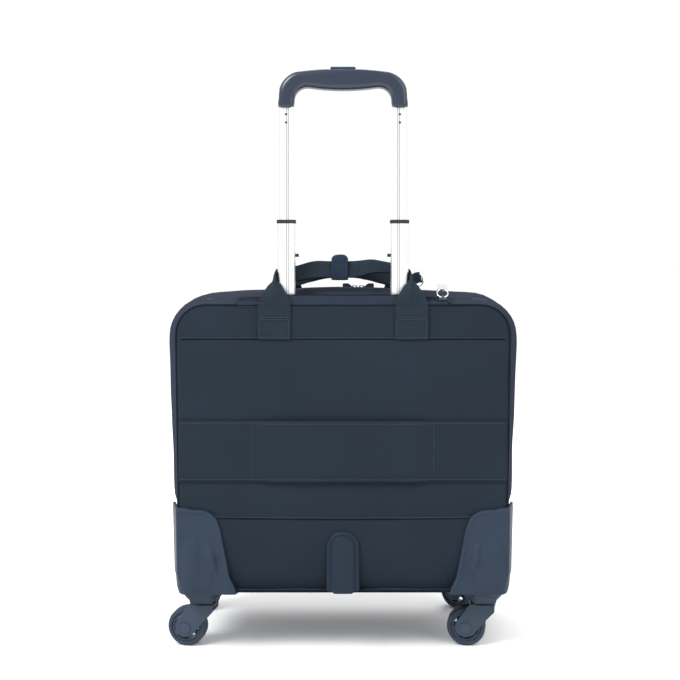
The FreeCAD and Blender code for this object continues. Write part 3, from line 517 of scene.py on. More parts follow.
# ---------------------------------------------------------------------------------------------
# The case's outside: an outline for each depth
# ---------------------------------------------------------------------------------------------
GUSSET_LOW, GUSSET_HIGH = corners("case_gusset")
PANEL_LOW, PANEL_HIGH = corners("back_panel")
LID_LOW, LID_HIGH = corners("lid_panel")
FOOT_TAPER = 8.5
SHOULDER_BACK, SHOULDER_FRONT = -66.0, 80.0
FRONT_FOOT = GUSSET_LOW.z + 4
STATIONS = [
    (PANEL_LOW.y, PANEL_HIGH.x, FOOT_TAPER / 2, PANEL_LOW.z, PANEL_HIGH.z, 36.0, 24.0),
    (SHOULDER_BACK, GUSSET_HIGH.x, FOOT_TAPER, GUSSET_LOW.z, GUSSET_HIGH.z, 52.0, 30.0),
    (SHOULDER_FRONT, GUSSET_HIGH.x, FOOT_TAPER, GUSSET_LOW.z, GUSSET_HIGH.z, 52.0, 30.0),
    (LID_HIGH.y, LID_HIGH.x, FOOT_TAPER, FRONT_FOOT, LID_HIGH.z, 46.0, 26.0),
]
SLOT_HALF, SLOT_FRONT = 128.0, -71.0
LID_FOOT, LID_SEAM = LID_LOW.z, 352.0
SIDE_SHARES = [0.0, 0.0084, 0.0169, 0.0270] + spread(0.06, 1.0, 34)
TAPE_FROM, LID_FROM = 3, 2
CORNER_STEPS = 9


def station(y):
    """The outline's measures at depth y: half-width, taper, low, high and the corner radii."""
    y = min(max(y, STATIONS[0][0]), STATIONS[-1][0])
    for before, after in zip(STATIONS, STATIONS[1:]):
        if y <= after[0]:
            share = (y - before[0]) / (after[0] - before[0])
            return [mix(a, b, share) for a, b in zip(before[1:], after[1:])]
    return list(STATIONS[-1][1:])


def half_width(z, measures):
    """Half the case's width at height z in a section, its rounded corners included."""
    half, taper, low, high, top_radius, foot_radius = measures
    side = half - taper * (high - z) / (high - low)
    if z > high - top_radius:
        up = z - (high - top_radius)
        return side - top_radius + math.sqrt(max(0.0, top_radius ** 2 - up ** 2))
    if z < low + foot_radius:
        down = low + foot_radius - z
        return side - foot_radius + math.sqrt(max(0.0, foot_radius ** 2 - down ** 2))
    return side


def crowned(x, y, z, high, top_radius):
    """The top falls away a little from its middle to its shoulders."""
    share = max(0.0, (z - high + top_radius) / top_radius) * smooth_step(y, -101, SHOULDER_BACK)
    return z - 4.0 * share * min(1.0, (x / 165.0) ** 2)


def half_ring(y, grow=0.0):
    """Points round the right half of the case at depth y, from the underside's middle to the top's."""
    half, taper, low, high, top_radius, foot_radius = station(y)
    half, low, high = half + grow, low - grow, high + grow
    top_radius, foot_radius = top_radius + grow, foot_radius + grow
    foot_half = half - taper
    points = [(x, low) for x in spread(0.0, foot_half - foot_radius, 22)[:-1]]
    for i in range(CORNER_STEPS + 1):
        angle = math.pi / 2 * i / CORNER_STEPS
        points.append((foot_half - foot_radius + foot_radius * math.sin(angle),
                       low + foot_radius - foot_radius * math.cos(angle)))
    side_low, side_high = low + foot_radius, high - top_radius
    points += [(mix(foot_half, half, share), mix(side_low, side_high, share))
               for share in SIDE_SHARES[1:]]
    for i in range(1, CORNER_STEPS + 1):
        angle = math.pi / 2 * i / CORNER_STEPS
        points.append((half - top_radius + top_radius * math.cos(angle),
                       high - top_radius + top_radius * math.sin(angle)))
    points += [(x, high) for x in spread(half - top_radius, SLOT_HALF, 5)[1:]]
    points += [(x, high) for x in spread(SLOT_HALF, 0.0, 20)[1:]]
    return [Vector((x, y, crowned(x, y, z, high, top_radius))) for x, z in points]


SIDE_START = 21 + CORNER_STEPS


def ring(y, grow=0.0, start=0):
    """The whole outline from the right half's point start, over the top, to the same on the left."""
    right = half_ring(y, grow)[start:]
    return right + mirrored(right[:-1])


def face_rows(y, z_values, columns, measures):
    """Rows of points that fill the case's outline in the plane at depth y."""
    return [[Vector((half_width(z, measures) * share, y, z)) for share in spread(-1, 1, columns)]
            for z in z_values]


def corner_heights(low, high, radius, upper):
    """Heights through a rounded corner, closer together where it turns level."""
    angles = [math.pi / 2 * i / CORNER_STEPS for i in range(CORNER_STEPS + 1)]
    if upper:
        return [high - radius + radius * math.sin(a) for a in angles]
    return [low + radius - radius * math.cos(a) for a in angles]


# ---------------------------------------------------------------------------------------------
# Back panel
# ---------------------------------------------------------------------------------------------
SLEEVE_LOW, SLEEVE_HIGH = corners("luggage_sleeve")
STRAP_SEAM, LOW_SEAM = 387.0, 169.0
TUCK_FROM, TUCK_DEEP = 150.0, 9.0
BACK = station(PANEL_LOW.y)


def panel_seam_sag(x):
    """How far the lower seam hangs at x below its ends."""
    return 2.2 * (1 - (x / BACK[0]) ** 2)


def back_panel():
    """The padded back panel: quilted between its seams, its foot tucking in under the case."""
    lowest = corner_heights(BACK[2], BACK[3], BACK[5], False)
    highest = corner_heights(BACK[2], BACK[3], BACK[4], True)
    sewn = [lowest[-1], LOW_SEAM, SLEEVE_LOW.z, SLEEVE_HIGH.z, STRAP_SEAM, highest[0]]
    heights = lowest
    for a, b in zip(sewn, sewn[1:]):
        heights = heights + spread(a, b, max(3, int((b - a) / 4.2)))[1:]
    heights = heights + highest[1:]
    rows = face_rows(PANEL_LOW.y, heights, 99, BACK)
    for row in rows:
        for p in row:
            near_seam = max(0.0, 1 - abs(p.z - LOW_SEAM) / 30)
            p.y += TUCK_DEEP * max(0.0, (TUCK_FROM - p.z) / (TUCK_FROM - BACK[2])) ** 2
            p.z -= near_seam * panel_seam_sag(p.x)
    points, faces = grid(rows)
    piece = make("back_panel_cover", points, faces, "back_fabric", away_from=(0, 0, 240))

    def held(p):
        on_edge = abs(p.x) > half_width(p.z, BACK) - 3
        seams = [STRAP_SEAM, SLEEVE_LOW.z, SLEEVE_HIGH.z, LOW_SEAM - panel_seam_sag(p.x)]
        return on_edge or p.z > STRAP_SEAM or p.z < BACK[2] + 6 or any(
            abs(p.z - seam) < 1.0 for seam in seams)

    billow(piece, held, (0, -9, 0), 1.8)
    uneven(piece, 0.5, 46)
    thicken(piece, 2.6, "lining")
    finish_piece(piece, "back_panel")


def back_piping():
    """Piping round the panel's edge, where it is sewn to the case's sides."""
    heights = (corner_heights(BACK[2], BACK[3], BACK[5], False)
               + spread(BACK[2] + BACK[5], BACK[3] - BACK[4], 30)[1:-1]
               + corner_heights(BACK[2], BACK[3], BACK[4], True))
    right = [Vector((half_width(z, BACK), PANEL_LOW.y + 1.6, z)) for z in heights]
    tube = tube_along(right + mirrored(right), 1.9, closed=True, sides=10)
    finish_piece(make("back_piping", *tube, "piping", slot="back_fabric"))


def seam_line(name, path):
    """A seam across the back panel: a crease tube in the darker piping fabric, painted shade for the
    seam's fold, with a row of stitches beside it.
    """
    # The crease's dark colour is painted shade: the shade that falls in the seam's fold.
    crease = tube_along(path, 0.75, sides=6)
    finish_piece(make(name + "_crease", *crease, "piping", slot="back_fabric"))
    row = [p + Vector((0, 0, 2.0)) for p in path]
    sew(name + "_stitches", [stitches(row, BACKWARD, 0.35)])


def panel_seams():
    """The two seams across the panel: under the straps, and the sagging one above the guards."""
    across = spread(-197, 197, 60)
    seam_line("upper_seam", [Vector((x, PANEL_LOW.y, STRAP_SEAM)) for x in across])
    seam_line("lower_seam", [Vector((x, PANEL_LOW.y, LOW_SEAM - panel_seam_sag(x))) for x in across])


def luggage_sleeve():
    """The band that slips over a larger case's handle: flat at its ends, proud along its middle."""
    edge = 110.5
    end = BACK[0] - 2.6
    stands = 3.2

    def depth(x, z):
        rise = smooth_step(edge - abs(x), 0, 26)
        hang = math.sin(math.pi * (z - SLEEVE_LOW.z) / (SLEEVE_HIGH.z - SLEEVE_LOW.z))
        return PANEL_LOW.y - 2.0 - rise * (stands + 0.9 * hang) - 0.5 * hang

    rows = []
    for z in spread(SLEEVE_LOW.z, SLEEVE_HIGH.z, 21):
        rows.append([Vector((x, depth(x, z), z)) for x in spread(-end, end, 100)])
    points, faces = grid(rows)
    piece = make("luggage_sleeve_band", points, faces, "back_fabric", away_from=(0, 0, 250))

    def held(p):
        sewn = abs(p.x) > edge
        return sewn or abs(p.z - SLEEVE_LOW.z) < 3 or abs(p.z - SLEEVE_HIGH.z) < 3

    billow(piece, held, (0, -6, 0), 1.2)
    uneven(piece, 0.45, 38, 5.0)
    thicken(piece, 1.3)
    finish_piece(piece, "luggage_sleeve")
    parts = []
    for z in (SLEEVE_LOW.z + 3.5, SLEEVE_HIGH.z - 3.5):
        across = [Vector((x, depth(x, z) - 0.35, z)) for x in spread(-end + 3, end - 3, 90)]
        parts.append(stitches(across, BACKWARD))
    for x in (-edge, edge):
        heights = spread(SLEEVE_LOW.z + 4, SLEEVE_HIGH.z - 4, 24)
        parts.append(stitches([Vector((x, depth(x, z) - 0.35, z)) for z in heights], BACKWARD))
    sew("luggage_sleeve_stitches", parts)


# ---------------------------------------------------------------------------------------------
# Sides, top and underside
# ---------------------------------------------------------------------------------------------
GUARD_TOP = corners("corner_guard_back_left")[1].z


def bulge(p, y_low, y_high):
    """How far the padded wall swells out between its two edges, held in where a guard covers it."""
    share = math.sin(math.pi * min(1.0, max(0.0, (p.y - y_low) / (y_high - y_low)))) ** 0.7
    above_guards = smooth_step(p.z, GUARD_TOP - 2, GUARD_TOP + 12)
    between_guards = 1 - smooth_step(abs(p.y), 12, 34)
    most = 4.8 * max(above_guards, 0.6 * between_guards)
    if p.z > GUSSET_HIGH.z - 12:
        crown = 4.0 * max(0.0, 1 - (p.x / 140) ** 2)
        most = (4.8 + crown) * smooth_step(p.y, SLOT_FRONT, SLOT_FRONT + 30)
    return most * share * (0.85 + 0.3 * noise.noise(p / 70))


def gusset():
    """The wall round the case between the back panel's edge and the main zip, open at the slot."""
    low, high = PANEL_HIGH.y, SHOULDER_FRONT - 0.5
    depths = spread(low, SLOT_FRONT, 8) + spread(SLOT_FRONT, SHOULDER_FRONT, 34)[1:-1] + [high]
    points, faces = grid([ring(y) for y in depths], True)
    kept = []
    for face in faces:
        centre = sum((points[i] for i in face), Vector()) / 4
        in_slot = centre.z > 415 and abs(centre.x) < SLOT_HALF and centre.y < SLOT_FRONT
        if not in_slot:
            kept.append(face)
    for i, p in enumerate(points):
        swell = bulge(p, low, high)
        outward = Vector((p.x / 215, 0, (p.z - 250) / 190 if p.z > 388 else 0))
        if p.z > 92:
            points[i] = p + outward.normalized() * swell if outward.length else p
    piece = make("gusset_cover", points, kept, "gusset_fabric", away_from=(0, 0, 250))
    uneven(piece, 0.7, 40, 9.0)
    thicken(piece, 2.6, "lining")
    finish_piece(piece, "case_gusset")


def foot_cover():
    """The fixed foot of the front, below the lid's fold: its sole and its front."""
    halves = [half_ring(y)[:SIDE_START + 1] for y in spread(SHOULDER_FRONT - 0.5, LID_HIGH.y, 6)]
    rows = [mirrored(half) + half[1:] for half in halves]
    front = station(LID_HIGH.y)
    heights = corner_heights(front[2], front[3], front[5], False) + [LID_FOOT - 2.5]
    for name, shape, inside in (("foot_sole", grid(rows), (0, 90, 120)),
                                ("foot_front", grid(face_rows(LID_HIGH.y, heights, 60, front)),
                                 (0, 0, 85))):
        piece = make(name, *shape, "front_fabric", away_from=inside)
        thicken(piece, 2.6, "lining")
        finish_piece(piece)


def lid():
    """The lid: a rim that follows the main zip, and the front panel."""
    depths = spread(SHOULDER_FRONT + 1.5, LID_HIGH.y, 9)
    rows = [ring(y, start=SIDE_START + LID_FROM) for y in depths]
    points, faces = grid(rows)
    rim = make("lid_rim_cover", points, faces, "gusset_fabric", "front_lid", away_from=(0, 60, 250))
    uneven(rim, 0.4, 30, 3.0)
    thicken(rim, 2.4, "lining")
    finish_piece(rim, "lid_gusset")

    front = station(LID_HIGH.y)
    highest = corner_heights(front[2], front[3], front[4], True)
    heights = spread(LID_FOOT, highest[0], 66) + highest[1:]
    points, faces = grid(face_rows(LID_HIGH.y, heights, 99, front))
    panel = make("lid_panel_cover", points, faces, "front_fabric", "front_lid", away_from=(0, 0, 250))

    def held(p):
        return abs(p.x) > half_width(p.z, front) - 3 or p.z < LID_FOOT + 3 or p.z > front[3] - 3 or (
            abs(p.z - LID_SEAM) < 2.6)

    billow(panel, held, (0, 9, 0), 3.0)
    uneven(panel, 0.6, 50, 4.0)
    thicken(panel, 2.4, "lining")
    finish_piece(panel, "lid_panel")

    path = [Vector((half_width(z, front), LID_HIGH.y - 0.6, z)) for z in heights]
    tube = tube_along(path + mirrored(path), 1.7, sides=10)
    finish_piece(make("lid_piping", *tube, "piping", "front_lid", "front_fabric"))
    seam = [Vector((x, LID_HIGH.y + 0.4, LID_SEAM)) for x in spread(-205, 205, 60)]
    sew("lid_stitches", [stitches(seam, FORWARD)], "front_lid", "front_fabric")


def front_pocket():
    """A slip pocket on the lid, sewn round three sides, its mouth hemmed and a little open."""
    low, high = corners("front_pocket")
    face = LID_HIGH.y + 0.4
    rows = []
    for z in spread(low.z, high.z, 44):
        row = []
        for x in spread(low.x, high.x, 62):
            side = smooth_step(high.x - abs(x), 0, 16)
            foot = smooth_step(z - low.z, 0, 16)
            row.append(Vector((x, face + 6.0 * side * foot, z)))
        rows.append(row)
    points, faces = grid(rows)
    piece = make("front_pocket_cover", points, faces, "front_fabric", "front_lid", away_from=(0, 0, 230))

    def held(p):
        return abs(p.x) > high.x - 5 or p.z < low.z + 5 or (p.z > high.z - 2 and abs(p.x) > 120)

    billow(piece, held, (0, 5, 0), 1.6)
    uneven(piece, 0.5, 36, 7.0)
    thicken(piece, 1.5)
    finish_piece(piece, "front_pocket")
    edge, out = 3.0, face + 0.9
    path = ([Vector((low.x + edge, out, z)) for z in spread(high.z - 2, low.z + edge, 50)]
            + [Vector((x, out, low.z + edge)) for x in spread(low.x + edge, high.x - edge, 60)[1:]]
            + [Vector((high.x - edge, out, z)) for z in spread(low.z + edge, high.z - 2, 50)[1:]])
    sew("front_pocket_stitches", [stitches(path, FORWARD, 0.5)], "front_lid", "front_fabric")


def hinge_strip():
    """The cloth fold that joins the lid's foot to the case."""
    front = station(LID_HIGH.y)
    heights = spread(LID_FOOT - 5.5, LID_FOOT + 3.5, 8)
    rows = [[Vector((half_width(z, front) * share * 0.985, LID_HIGH.y - 3.2, z))
             for share in spread(-1, 1, 40)] for z in heights]
    points, faces = grid(rows)
    piece = make("lid_hinge_strip", points, faces, "front_fabric", away_from=(0, 0, 90))
    thicken(piece, 0.8)
    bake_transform(piece)


# ---------------------------------------------------------------------------------------------
# Zips
# ---------------------------------------------------------------------------------------------
TOOTH_PITCH = 1.9


def zip_side(name, node, body, y_low, y_high, teeth_y, way):
    """One tape of the main zip with its row of teeth."""
    start = SIDE_START + TAPE_FROM
    sheet = grid([ring(y, 0.9, start) for y in spread(y_low, y_high, 4)])
    tape = make(name, *sheet, "zip_tape", body, away_from=(0, 0, 250))
    thicken(tape, 0.8)
    finish_piece(tape, node)
    path = ring(teeth_y, 1.2, start)
    parts = []
    for here, tangent in walk(path, TOOTH_PITCH):
        outward = Vector(FORWARD).cross(tangent).normalized()
        centre = here + tangent * (TOOTH_PITCH / 2 if way > 0 else 0.0)
        parts.append(tooth(centre, tangent, Vector((0, way, 0)), outward))
    finish_piece(make(name + "_teeth", *joined(*parts), "zip_metal", body, "zip_tape"))


def walk(path, pitch):
    """Points with their direction, evenly spaced along a path."""
    places = []
    carried = 0.0
    for a, b in zip(path, path[1:]):
        step = (b - a).length
        if step < 1e-6:
            continue
        along = (b - a) / step
        while carried < step:
            places.append((a + along * carried, along))
            carried += pitch
        carried -= step
    return places


def tooth(centre, along, across, outward):
    """A zip tooth: a small block with a rounded nose."""
    points = []
    for s, half, tall in ((-1.2, 0.42, 0.35), (0.2, 0.55, 0.55), (0.9, 0.4, 0.35)):
        for u, w in ((-1, -1), (1, -1), (1, 1), (-1, 1)):
            points.append(centre + across * s + along * half * u + outward * tall * w)
    faces = [(0, 1, 2, 3), (8, 9, 10, 11)]
    for level in (0, 4):
        faces += [(level + i, level + (i + 1) % 4, level + 4 + (i + 1) % 4, level + 4 + i)
                  for i in range(4)]
    return points, faces


# ---------------------------------------------------------------------------------------------
# Handle slot
# ---------------------------------------------------------------------------------------------
def lip_top(x):
    """How much of its full height the slot's lip has at x: it falls away towards its ends."""
    return 1 - 0.44 * smooth_step(abs(x), 70, 88)


def slot_lip():
    """The soft lip along the near edge of the handle slot, with the slot's own zip on top."""
    low, high = corners("slot_lip")
    rise = high.z - low.z
    rows = []
    for x in spread(low.x, high.x, 80):
        top = lip_top(x) * rise
        row = []
        for share in spread(0, 1, 9):
            angle = share * math.pi / 2
            row.append(Vector((x, low.y + 6.5 * (1 - math.cos(angle)) * lip_top(x),
                               low.z - 1.5 + (top + 1.5) * math.sin(angle))))
        rows.append(row)
    points, faces = grid(rows)
    piece = make("slot_lip_cover", points, faces, "gusset_fabric", away_from=(0, -60, 380))
    uneven(piece, 0.5, 30, 2.0)
    thicken(piece, 1.6)
    finish_piece(piece, "slot_lip")
    edge = [Vector((x, low.y + 6.8 * lip_top(x), low.z + lip_top(x) * rise + 0.3))
            for x in spread(low.x + 1, high.x - 1, 90)]
    tape = grid([[p + Vector((0, y, -0.3 * y)) for p in edge] for y in (-2.2, -0.8, 0.4)])
    finish_piece(make("slot_zip_tape", *tape, "zip_tape", away_from=(0, -60, 380)))
    parts = [tooth(here + Vector((0, -0.4, 0)), along, Vector(FORWARD), Vector(UP))
             for here, along in walk(edge, TOOTH_PITCH)]
    finish_piece(make("slot_zip_teeth", *joined(*parts), "zip_metal", slot="zip_tape"))


# ---------------------------------------------------------------------------------------------
# Carry handles
# ---------------------------------------------------------------------------------------------
def curve_through(stations, steps):
    """Stations of equally many numbers, smoothly filled in between with so many steps each."""
    filled = []
    last = len(stations) - 1
    for i in range(last):
        p0, p1 = stations[max(i - 1, 0)], stations[i]
        p2, p3 = stations[i + 1], stations[min(i + 2, last)]
        for k in range(steps):
            t = k / steps
            filled.append([0.5 * (2 * b + (c - a) * t + (2 * a - 5 * b + 4 * c - d) * t ** 2
                                  + (3 * b - a - 3 * c + d) * t ** 3)
                           for a, b, c, d in zip(p0, p1, p2, p3)])
    return filled + [list(stations[-1])]


WEB_HALF, WEB_THICK = 20.0, 1.3
STRAP_PEAK, STRAP_TAPER = 464.5, 32.0


def folded_webbing(stations, name, steps=5):
    """Webbing that folds in two along its middle. A station is the fold's place, the way its
    edges lie from it, the way its halves part, how far open it is from 0 to 1, and its depth."""
    rows = []
    for values in curve_through(stations, steps):
        fold, lie, part = Vector(values[0:3]), Vector(values[3:6]), Vector(values[6:9])
        open_share, deep = min(1.0, max(0.0, values[9])), values[10]
        lie.normalize()
        part = (part - lie * part.dot(lie)).normalized()
        angle = open_share * math.pi / 2
        row = []
        for share in spread(-1, 1, 15):
            side = math.copysign(1, share) if share else 0
            reach = abs(share) * WEB_HALF
            apart = reach * math.sin(angle) + (1 - open_share) * 0.95 * smooth_step(abs(share), 0, 0.2)
            row.append(fold + lie * reach * math.cos(angle) * deep + part * side * apart)
        rows.append(row)
    points, faces = grid(rows)
    piece = make(name, points, faces, "webbing")
    uneven(piece, 0.5, 22, 1.0)
    modifier(piece, "SOLIDIFY", thickness=WEB_THICK * MM, offset=0.0)
    modifier(piece, "BEVEL", width=0.35 * MM, segments=2, limit_method="ANGLE")
    apply_modifiers(piece)
    return piece


def other_half(stations):
    """A handle's stations on the case's other side, in the opposite order."""
    return [(-x, y, z, -lie_x, lie_y, lie_z, part_x, -part_y, part_z, open_share, deep)
            for x, y, z, lie_x, lie_y, lie_z, part_x, part_y, part_z, open_share, deep
            in reversed(stations)]


def rear_handle():
    """The near carry handle, from one strap's root round behind the tubes to the other's."""
    strap = 83.5
    face = PANEL_LOW.y - 1.6
    straight = [(strap, face, z, 0, -1, 0, 1, 0, 0, 1.0, 0.3) for z in (387, 408, 420, 428)]
    closing = []
    for edge_y, edge_z, lift in ((-107.0, 434, 0.0), (-108.2, 439, 0.02), (-108.0, 444, 0.05),
                                 (-107.2, 449, 0.1), (-105.8, 454, 0.2), (-103.4, 459, 0.35)):
        share = (STRAP_PEAK - edge_z) / STRAP_TAPER
        open_share = math.asin(share) * 2 / math.pi
        closing.append((83.0, edge_y, edge_z, 0, 1, -lift, 1, 0, 0, open_share, 0.25 + lift))
    turning = [
        (83.3, -99, 464, 0, 0.8, -0.6, 1, 0, 0, 0.04, 0.8),
        (83.3, -92, 467.5, 0, 0.4, -0.9, 1, 0, 0, 0.02, 0.97),
        (83.3, -84, 469, 0, 0.1, -1, 1, 0, 0, 0.02, 0.97),
        (82.9, -76, 470.5, 0, 0, -1, 1, 0.2, 0, 0.02, 0.97),
        (80.8, -70, 472, 0, 0, -1, 0.8, 0.8, 0, 0.02, 0.97),
        (74, -66.0, 473, 0, 0, -1, 0.2, 1, 0, 0.02, 1.0),
        (58, -63.8, 475.5, 0, -0.25, -1, 0, 1, 0, 0.03, 1.0),
        (36, -62.2, 481, 0, -0.4, -1, 0, 1, 0, 0.03, 1.1),
        (14, -64.0, 481, 0, -0.2, -1, 0, 1, 0, 0.02, 1.0),
    ]
    right = straight + closing + turning
    left = other_half(right)
    arched = []
    for values in right:
        lifted = smooth_step(values[0], 12, 58) * smooth_step(80 - values[0], 0, 5)
        arched.append((*values[:2], values[2] + 4.0 * lifted, *values[3:10],
                       values[10] * (1 - 0.35 * lifted)))
    finish_piece(folded_webbing(arched + left, "rear_handle_webbing"), "rear_carry_handle")
    parts = []
    out = face - WEB_THICK / 2 - 0.2
    for side in (-1, 1):
        for z in (413.5, 411.2, 389.2):
            across = [Vector((side * strap + x, out, z)) for x in spread(-17, 17, 8)]
            parts.append(stitches(across, BACKWARD))
        for x in (-18, 18):
            upright = [Vector((side * strap + x, out, z)) for z in spread(389, 411, 8)]
            parts.append(stitches(upright, BACKWARD))
    sew("strap_stitches", parts, slot="webbing")


def front_handle():
    """The far carry handle, sewn to the top behind the main zip."""
    right = [
        (72, 51, 441.4, 0, -1, 0, 1, 0, 0, 0.72, 0.3),
        (72.5, 46, 441.8, -0.2, -0.4, 1, 1, -0.4, 0, 0.4, 0.8),
        (68, 28, 444, 0, 0, 1, 1, -0.6, 0, 0.05, 0.95),
        (56, -6, 450, 0, 0, 1, 1, -0.5, 0, 0.03, 1.0),
        (42, -36, 454.5, 0, 0.1, 1, 0.8, -0.7, 0, 0.03, 1.0),
        (28, -55, 458.5, 0, 0.05, 1, 0.3, -1, 0, 0.03, 1.0),
        (14, -62.0, 461, 0, 0, 1, 0, -1, 0, 0.02, 1.0),
    ]
    webbing = folded_webbing(right + other_half(right), "front_handle_webbing")
    finish_piece(webbing, "front_carry_handle")


def handle_wrap():
    """The leather grip that holds the two handles together, closed round them."""
    low, high = corners("handle_wrap")
    centre = (low + high) / 2
    rows = []
    for x in spread(low.x, high.x, 17):
        across = (x - centre.x) / (high.x - centre.x)
        dome = 4.2 * (1 - across ** 4)
        pinch = 0.5 * abs(across) ** 6
        row = []
        for k in range(48):
            angle = 2 * math.pi * k / 48
            c, s = math.cos(angle), math.sin(angle)
            power = 0.42
            y = math.copysign(abs(c) ** power, c) * ((high.y - low.y) / 2 - pinch)
            z = math.copysign(abs(s) ** power, s) * ((high.z - low.z) / 2 - 1.6 - pinch)
            row.append(Vector((x, centre.y + y, centre.z - 0.8 + z + (dome if s > 0.3 else 0))))
        rows.append(row)
    points, faces = grid(rows, True)
    piece = make("handle_wrap_leather", points, faces, "wrap_leather", away_from=centre)
    uneven(piece, 0.35, 9, 2.0)
    thicken(piece, 1.5)
    finish_piece(piece, "handle_wrap")
    out = low.y - 0.35
    parts = [stitches([Vector((x, out, z)) for z in spread(low.z + 3, high.z - 4, 10)], BACKWARD)
             for x in (low.x + 2, high.x - 2)]
    foot = [Vector((x, out, low.z + 3)) for x in spread(low.x + 3, high.x - 3, 6)]
    sew("handle_wrap_stitches", parts + [stitches(foot, BACKWARD)], slot="wrap_leather")


# ---------------------------------------------------------------------------------------------
# Moulded parts
# ---------------------------------------------------------------------------------------------
def guard_details(side):
    """The rounded rim along a back guard's upper and inner edge, and the ridge beside its pad."""
    face = PANEL_LOW.y - 4
    rim = [(203, 178.6), (188, 177.6), (168, 176), (160, 172), (154.5, 164), (151.2, 154),
           (145.8, 125), (140.3, 96), (136, 86), (133.6, 82)]
    edge = tube_along([Vector((side * x, face + 0.4, z)) for x, z in rim], 2.4, sides=12)
    ridge = [(166.5, 142), (163.8, 132), (161, 120), (158.2, 108), (155, 95)]
    swell = tube_along([Vector((side * x, face + 0.6, z)) for x, z in ridge], 1, sides=20,
                       radii=[0.8, 4.4, 6.8, 5.4, 1.0])
    pad = tube_along([Vector((side * 185, face + 16, z)) for z in spread(142, 74, 9)], 1, sides=40,
                     radii=[17.6, 19.6, 20.6, 21, 21.2, 21, 20.6, 19.6, 17.4])
    return [edge, swell, pad]


def guards():
    """The four corner guards; the two at the back have a rim, a ridge and a pad."""
    for side_name, side in SIDES.items():
        for end_name in ("back", "front"):
            node = f"corner_guard_{end_name}_{side_name}"
            extras = guard_details(side) if end_name == "back" else []
            moulded(node + "_shell", [node], "guard_plastic", "case", extras, 1.2, 12)


def bumper():
    """The bumper between the guards: a rounded rim, a groove, and a long dome within it."""
    low, high = corners("centre_bumper")
    rim_half = high.x - 2.2
    arch = high.z - high.x
    rim_foot = low.z + 2.5
    turns = [math.pi * i / 24 for i in range(25)]
    legs = spread(rim_foot + 2, arch, 14)[:-1]
    path = [(rim_half, z) for z in legs]
    path += [(rim_half * math.cos(a), arch + rim_half * math.sin(a)) for a in turns]
    path += [(-rim_half, z) for z in reversed(legs)]
    rim = tube_along([Vector((x, high.y - 2.2, z)) for x, z in path], 2.3, sides=12)
    dome_half, middle = high.x - 7, high.y - 1.4
    radii = [7.5, 8.2, 8.4, 8.4, 8.4, 8.4, 8.4, 8.3, 8.0, 7.2, 5.8, 3.0]
    spine = [Vector((0, middle, z)) for z in spread(low.z + 4, arch + dome_half - 2, len(radii))]
    points, faces = tube_along(spine, 1, sides=40, radii=radii)
    wide, deep = dome_half / max(radii), 0.62
    points = [Vector((p.x * wide, middle + (p.y - middle) * deep, p.z)) for p in points]
    moulded("centre_bumper_shell", ["centre_bumper"], "bumper_plastic", "case",
            [rim, (points, faces)], 0.8, 8)


def pull_tab(name, node, side):
    """A soft tab on a main zip's pull. It is low beside the slider, so that it can swing over."""
    low, high = corners(node)
    far = low.x if side < 0 else high.x
    length = high.x - low.x
    rows = []
    for along in spread(0.3, length - 0.8, 15):
        tall = min(5.6, 0.84 * (length - along) - 3.0) * (1 - 0.2 * max(0.0, 1 - along / 2.0) ** 2)
        if tall < 0.8:
            break
        rows.append([Vector((far - side * along, (low.y + high.y) / 2, low.z + 0.4 + tall * share))
                     for share in spread(0, 1, 7)])
    body = "main_pull_left" if side < 0 else "main_pull_right"
    tab = make(name, *grid(rows), "webbing", body, "zip_metal")
    modifier(tab, "SOLIDIFY", thickness=2.0 * MM, offset=0.0)
    modifier(tab, "BEVEL", width=0.6 * MM, segments=2, limit_method="ANGLE")
    apply_modifiers(tab)
    finish_piece(tab, node)


def ring_leather():
    """The leather loop that holds the tag ring: it rises from the top and folds round the ring."""
    ring_low, ring_high = corners("tag_ring")
    middle = (ring_low + ring_high) / 2
    wide = 14.0
    front_half = [(middle.x - 14, 4.0, 442), (middle.x - 11, 2.8, 448), (middle.x - 7, 2.2, 453.5),
                  (middle.x - 1, 2.1, 457.5), (middle.x + 3, 2.0, 458.5)]
    path = front_half + [(middle.x + 5, 0.0, 458.5)]
    path += [(x, -out, z) for x, out, z in reversed(front_half)]
    rows = []
    for x, out, z in curve_through(path, 3):
        rows.append([Vector((x - lift * 0.3, middle.y - out, z + lift))
                     for lift in spread(-wide / 2, wide / 2, 7)])
    points, faces = grid(rows)
    strip = make("ring_leather_loop", points, faces, "wrap_leather", slot="webbing")
    modifier(strip, "SOLIDIFY", thickness=1.5 * MM, offset=0.0)
    modifier(strip, "BEVEL", width=0.4 * MM, segments=2, limit_method="ANGLE")
    apply_modifiers(strip)
    finish_piece(strip, "ring_loop")


PAINTED = {"caster_axle": "caster_plastic", "lock_pin": "black_plastic", "grip_screws": "zip_metal"}


def hard_parts():
    """CAD nodes whose shape is right: a small bevel where edges are sharp, and their materials."""
    slots = {s["node"]: s["material_slot"] for s in frame["record"]["subparts"]}
    for name, node in NODES.items():
        if node.hide_render:
            continue
        look = next((PAINTED[start] for start in PAINTED if name.startswith(start)), slots[name])
        dress(node, look)
        small = name.startswith(("main_zip", "slot_zip", "ring_loop", "tube_", "lock", "release"))
        modifier(node, "BEVEL", width=(0.35 if small else 0.5) * MM, segments=2,
                 limit_method="ANGLE", angle_limit=math.radians(40), harden_normals=False)
        modifier(node, "WEIGHTED_NORMAL", keep_sharp=True)


